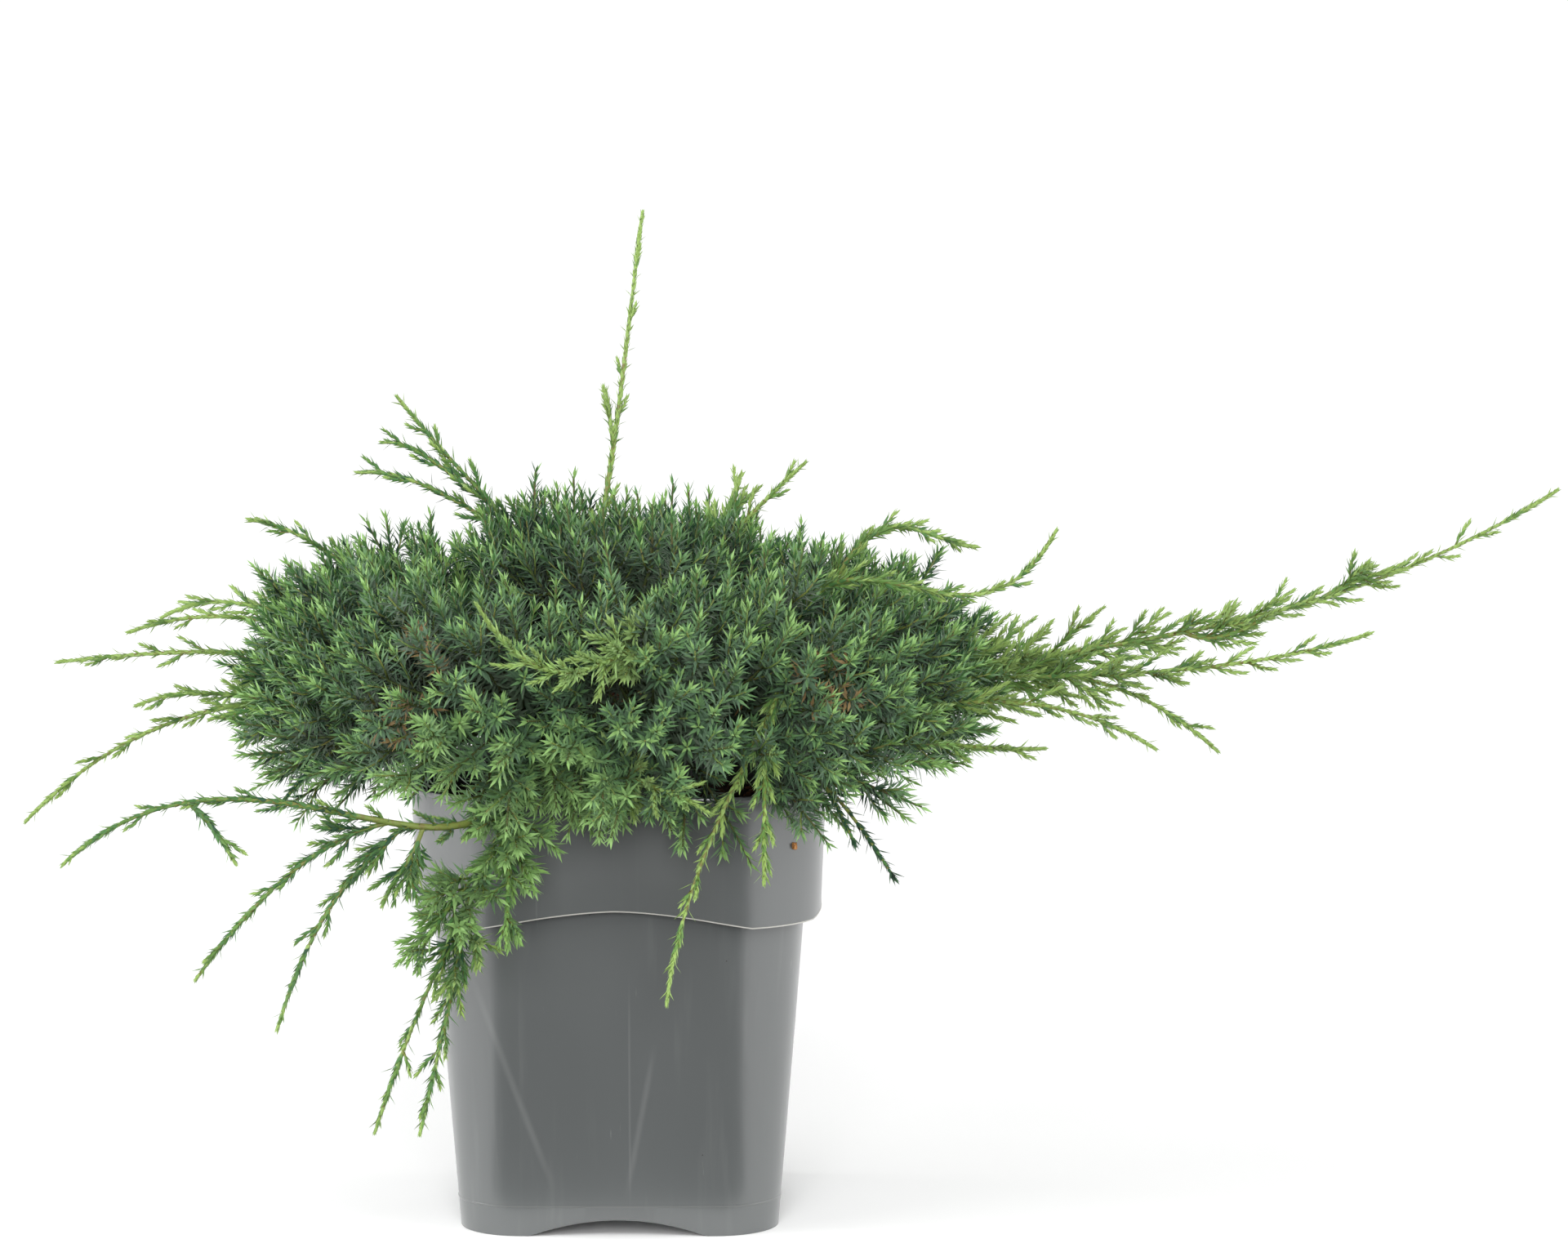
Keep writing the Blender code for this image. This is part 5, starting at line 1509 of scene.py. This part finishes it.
def make_twigs(sizes, colours):
    """The twigs of each kind as tubes: leaders in old bark, the mound's twigs olive and all others green."""
    growth = Growth(sizes)
    green, olive, bark = stem_paint(colours), twig_paint(colours), bpy.data.materials["old_bark"]
    leaders = Twigs([mass.leader for mass in growth.masses], (BOUGH_TIP_RADIUS, BOUGH_TIP_RADIUS * 0.8))
    for name, twigs, rings, sides, paint in (
        ("leader_bark", leaders, 8, 10, bark),
        ("shoot_stems", growth.stems, 26, 7, green),
        ("spray_stems", growth.sprays, 4, 3, green),
        ("spray_tip_stems", growth.spray_tips, 3, 3, green),
        ("mound_stems", growth.mound, 8, 4, olive),
        ("branchlet_stems", growth.branchlets, 3, 3, green),
    ):
        piece = new_piece(name, *tubes(twigs, rings, sides), [paint], smooth=True)
        finish_piece(piece, "needles", *FOLIAGE_NODES)


def grown_needles(sizes):
    """All the needles of the plant: on its shoots, on its mound and old ones inside."""
    growth = Growth(sizes)
    chance = np.random.default_rng(sizes.seed + 1)
    groups = [
        whorled(growth.stems, sizes, chance, 0.55, breadth=0.9),
        whorled(growth.cloth, sizes, chance, 0.55, breadth=1.4),
        whorled(growth.spikes, sizes, chance, 0.55, breadth=1.4),
        whorled(growth.sprays, sizes, chance, 0.55, breadth=1.25),
        whorled(growth.spray_tips, sizes, chance, 0.55, breadth=1.25),
        whorled(growth.mound, sizes, chance, 0.8, power=3, hold=3),
        whorled(growth.branchlets, sizes, chance, 0.6, power=1.4, hold=2.2),
        withered(growth.mound, sizes, chance),
    ]
    return Needles(*(np.concatenate(column) for column in zip(*groups)))


def make_needles(sizes, colours):
    """The needles, dealt out to pieces by their shade, with the bloom on their inner side."""
    needles = grown_needles(sizes)
    for number, shade in enumerate(SHADES):
        colour = getattr(colours, shade)
        inner = blend(colour, colours.bloom, DEAD_BLOOM_SHARE if shade == "brown" else BLOOM_SHARE)
        paints = [needle_paint(f"needle_{shade}", colour), needle_paint(f"needle_{shade}_inner", inner)]
        chosen = Needles(*(column[needles.shade == number] for column in needles))
        for piece in needle_pieces(f"needles_{shade}", chosen, paints):
            finish_piece(piece, "needles", *FOLIAGE_NODES)


def flat_card(name, corners, grey):
    """A matt card of one grey, as a piece of the stage: every four corners are one part of it."""
    values = {"Base Color": solid((grey, grey, grey)), "Roughness": 0.9, "Specular IOR Level": 0.0}
    points = np.array(corners, float)
    faces = np.array(((0, 1, 2), (0, 2, 3))) + np.arange(0, len(points), 4)[:, None, None]
    card = new_piece(name, points, faces.reshape(-1, 3), [Paint(f"{name}_paint", values).material])
    return card


def wedge_corners(level):
    """The corners of the part of the floor that widens from beside the pot towards the viewer."""
    return [
        (-WEDGE_WIDE, -FLOOR_HALF, level), (WEDGE_WIDE, -FLOOR_HALF, level),
        (WEDGE_SIDE, WEDGE_NEAR, level), (-WEDGE_SIDE, WEDGE_NEAR, level),
    ]


def make_floor():
    """The pale floor, just under the pot, and its wedge, which is seen but lights nothing.

    What the pot's front gets from there comes from the dark card under the wedge.
    """
    half, wide, side, near, level = FLOOR_HALF, WEDGE_WIDE, WEDGE_SIDE, WEDGE_NEAR, FLOOR_LEVEL
    flat_card("floor", [
        (-half, near, level), (half, near, level), (half, half, level), (-half, half, level),
        (-half, -half, level), (-wide, -half, level), (-side, near, level), (-half, near, level),
        (side, near, level), (wide, -half, level), (half, -half, level), (half, near, level),
    ], FLOOR_GREY)
    wedge = flat_card("floor_front", wedge_corners(level), FLOOR_GREY)
    wedge.visible_diffuse = False
    wedge.visible_glossy = False
    flat_card("flag_low", wedge_corners(level - LOW_CARD_DROP), CARD_GREY)


def make_flags():
    """Dark cards that the camera doesn't see: behind the viewer for the pot's front, and over the crown."""
    y, half, height = BACK_CARD_Y, BACK_CARD_HALF, BACK_CARD_HEIGHT
    corners = [(-half, y, 0), (-half, y, height), (half, y, height), (half, y, 0)]
    back = flat_card("flag_back", corners, CARD_GREY)
    half, level = TOP_CARD_HALF, TOP_CARD_LEVEL
    corners = [(-half, -half, level), (-half, half, level), (half, half, level), (half, -half, level)]
    top = flat_card("flag_top", corners, CARD_GREY)
    for card in (back, top):
        card.visible_camera = False


def make_light(name, place, size, power):
    """A square soft light at its place, turned to the lit point and hidden from the camera."""
    light = bpy.data.lights.new(name, "AREA")
    light.size = size
    light.energy = power
    lamp = bpy.data.objects.new(name, light)
    way = unit(np.subtract(LIT_POINT, place))
    lamp.location = place
    lamp.rotation_euler = (math.acos(-way[2]), 0, math.atan2(way[1], way[0]) - math.pi / 2)
    lamp.visible_camera = False
    bpy.context.scene.collection.objects.link(lamp)


def make_world():
    """A white world, which is the backdrop, with colours shown as they are."""
    world = bpy.data.worlds.new("white_room")
    world.use_nodes = True
    background = world.node_tree.nodes["Background"]
    background.inputs["Color"].default_value = (1, 1, 1, 1)
    background.inputs["Strength"].default_value = WORLD_STRENGTH
    bpy.context.scene.world = world
    bpy.context.scene.view_settings.view_transform = "Standard"


def make_camera():
    """The viewer's camera: a long lens in front of the pot that looks a little down."""
    camera = bpy.data.cameras.new("viewer")
    camera.lens = CAMERA_LENS
    camera.sensor_width = CAMERA_SENSOR
    viewer = bpy.data.objects.new("viewer", camera)
    viewer.location = CAMERA_PLACE
    viewer.rotation_euler = (math.radians(90 - CAMERA_DIP), 0, 0)
    bpy.context.scene.collection.objects.link(viewer)
    bpy.context.scene.camera = viewer


class JuniperOperator(bpy.types.Operator):
    """What the juniper's operators share."""

    bl_options = {"REGISTER", "UNDO"}


class JUNIPER_OT_pot(JuniperOperator):
    """Make the finished pot"""

    bl_idname = "juniper.pot"
    bl_label = "Pot"

    def execute(self, context):
        make_pot_shell(context.scene.juniper_colours)
        make_crumb()
        return {"FINISHED"}


class JUNIPER_OT_soil(JuniperOperator):
    """Make the soil and the bark chips on it"""

    bl_idname = "juniper.soil"
    bl_label = "Soil"

    def execute(self, context):
        make_soil_plug(context.scene.juniper_colours)
        make_chips(context.scene.juniper_colours, context.scene.juniper_sizes.seed)
        return {"FINISHED"}


class JUNIPER_OT_limbs(JuniperOperator):
    """Make the trunk and the boughs with their bark"""

    bl_idname = "juniper.limbs"
    bl_label = "Trunk and boughs"

    def execute(self, context):
        make_trunk_bark(context.scene.juniper_colours)
        make_bough_bark(all_masses())
        return {"FINISHED"}


class JUNIPER_OT_twigs(JuniperOperator):
    """Grow the stems of the shoots, their sprays and the twigs of the mound"""

    bl_idname = "juniper.twigs"
    bl_label = "Twigs"

    def execute(self, context):
        make_twigs(context.scene.juniper_sizes, context.scene.juniper_colours)
        return {"FINISHED"}


class JUNIPER_OT_needles(JuniperOperator):
    """Grow the needles on every twig, dealt out to pieces by their shade"""

    bl_idname = "juniper.needles"
    bl_label = "Needles"

    def execute(self, context):
        make_needles(context.scene.juniper_sizes, context.scene.juniper_colours)
        return {"FINISHED"}


class JUNIPER_OT_stage(JuniperOperator):
    """Make the pale floor, the dark cards, the soft lights, the white world and the camera"""

    bl_idname = "juniper.stage"
    bl_label = "Stage"

    def execute(self, context):
        make_floor()
        make_flags()
        for row in LIGHTS:
            make_light(*row)
        make_world()
        make_camera()
        return {"FINISHED"}


class JUNIPER_PT_panel(bpy.types.Panel):
    """Lists the juniper's operators, sizes and colours"""

    bl_idname = "JUNIPER_PT_panel"
    bl_label = "Potted juniper"
    bl_space_type = "VIEW_3D"
    bl_region_type = "UI"
    bl_category = "Juniper"

    def draw(self, context):
        for operator in OPERATORS:
            self.layout.operator(operator.bl_idname)
        for group in (context.scene.juniper_sizes, context.scene.juniper_colours):
            for name in group.bl_rna.properties.keys():
                if name not in ("rna_type", "name"):
                    self.layout.prop(group, name)


OPERATORS = (
    JUNIPER_OT_pot,
    JUNIPER_OT_soil,
    JUNIPER_OT_limbs,
    JUNIPER_OT_twigs,
    JUNIPER_OT_needles,
    JUNIPER_OT_stage,
)
CLASSES = (JuniperSizes, JuniperColours, *OPERATORS, JUNIPER_PT_panel)


def register():
    """Registers the classes and gives the scene its sizes and colours."""
    for each in CLASSES:
        bpy.utils.register_class(each)
    bpy.types.Scene.juniper_sizes = PointerProperty(type=JuniperSizes)
    bpy.types.Scene.juniper_colours = PointerProperty(type=JuniperColours)


def unregister():
    """Takes away what register added."""
    del bpy.types.Scene.juniper_colours
    del bpy.types.Scene.juniper_sizes
    for each in reversed(CLASSES):
        bpy.utils.unregister_class(each)


def main():
    """Makes every piece and the stage."""
    register()
    bpy.ops.juniper.pot()
    bpy.ops.juniper.soil()
    bpy.ops.juniper.limbs()
    bpy.ops.juniper.twigs()
    bpy.ops.juniper.needles()
    bpy.ops.juniper.stage()


if __name__ == "__main__":
    main()
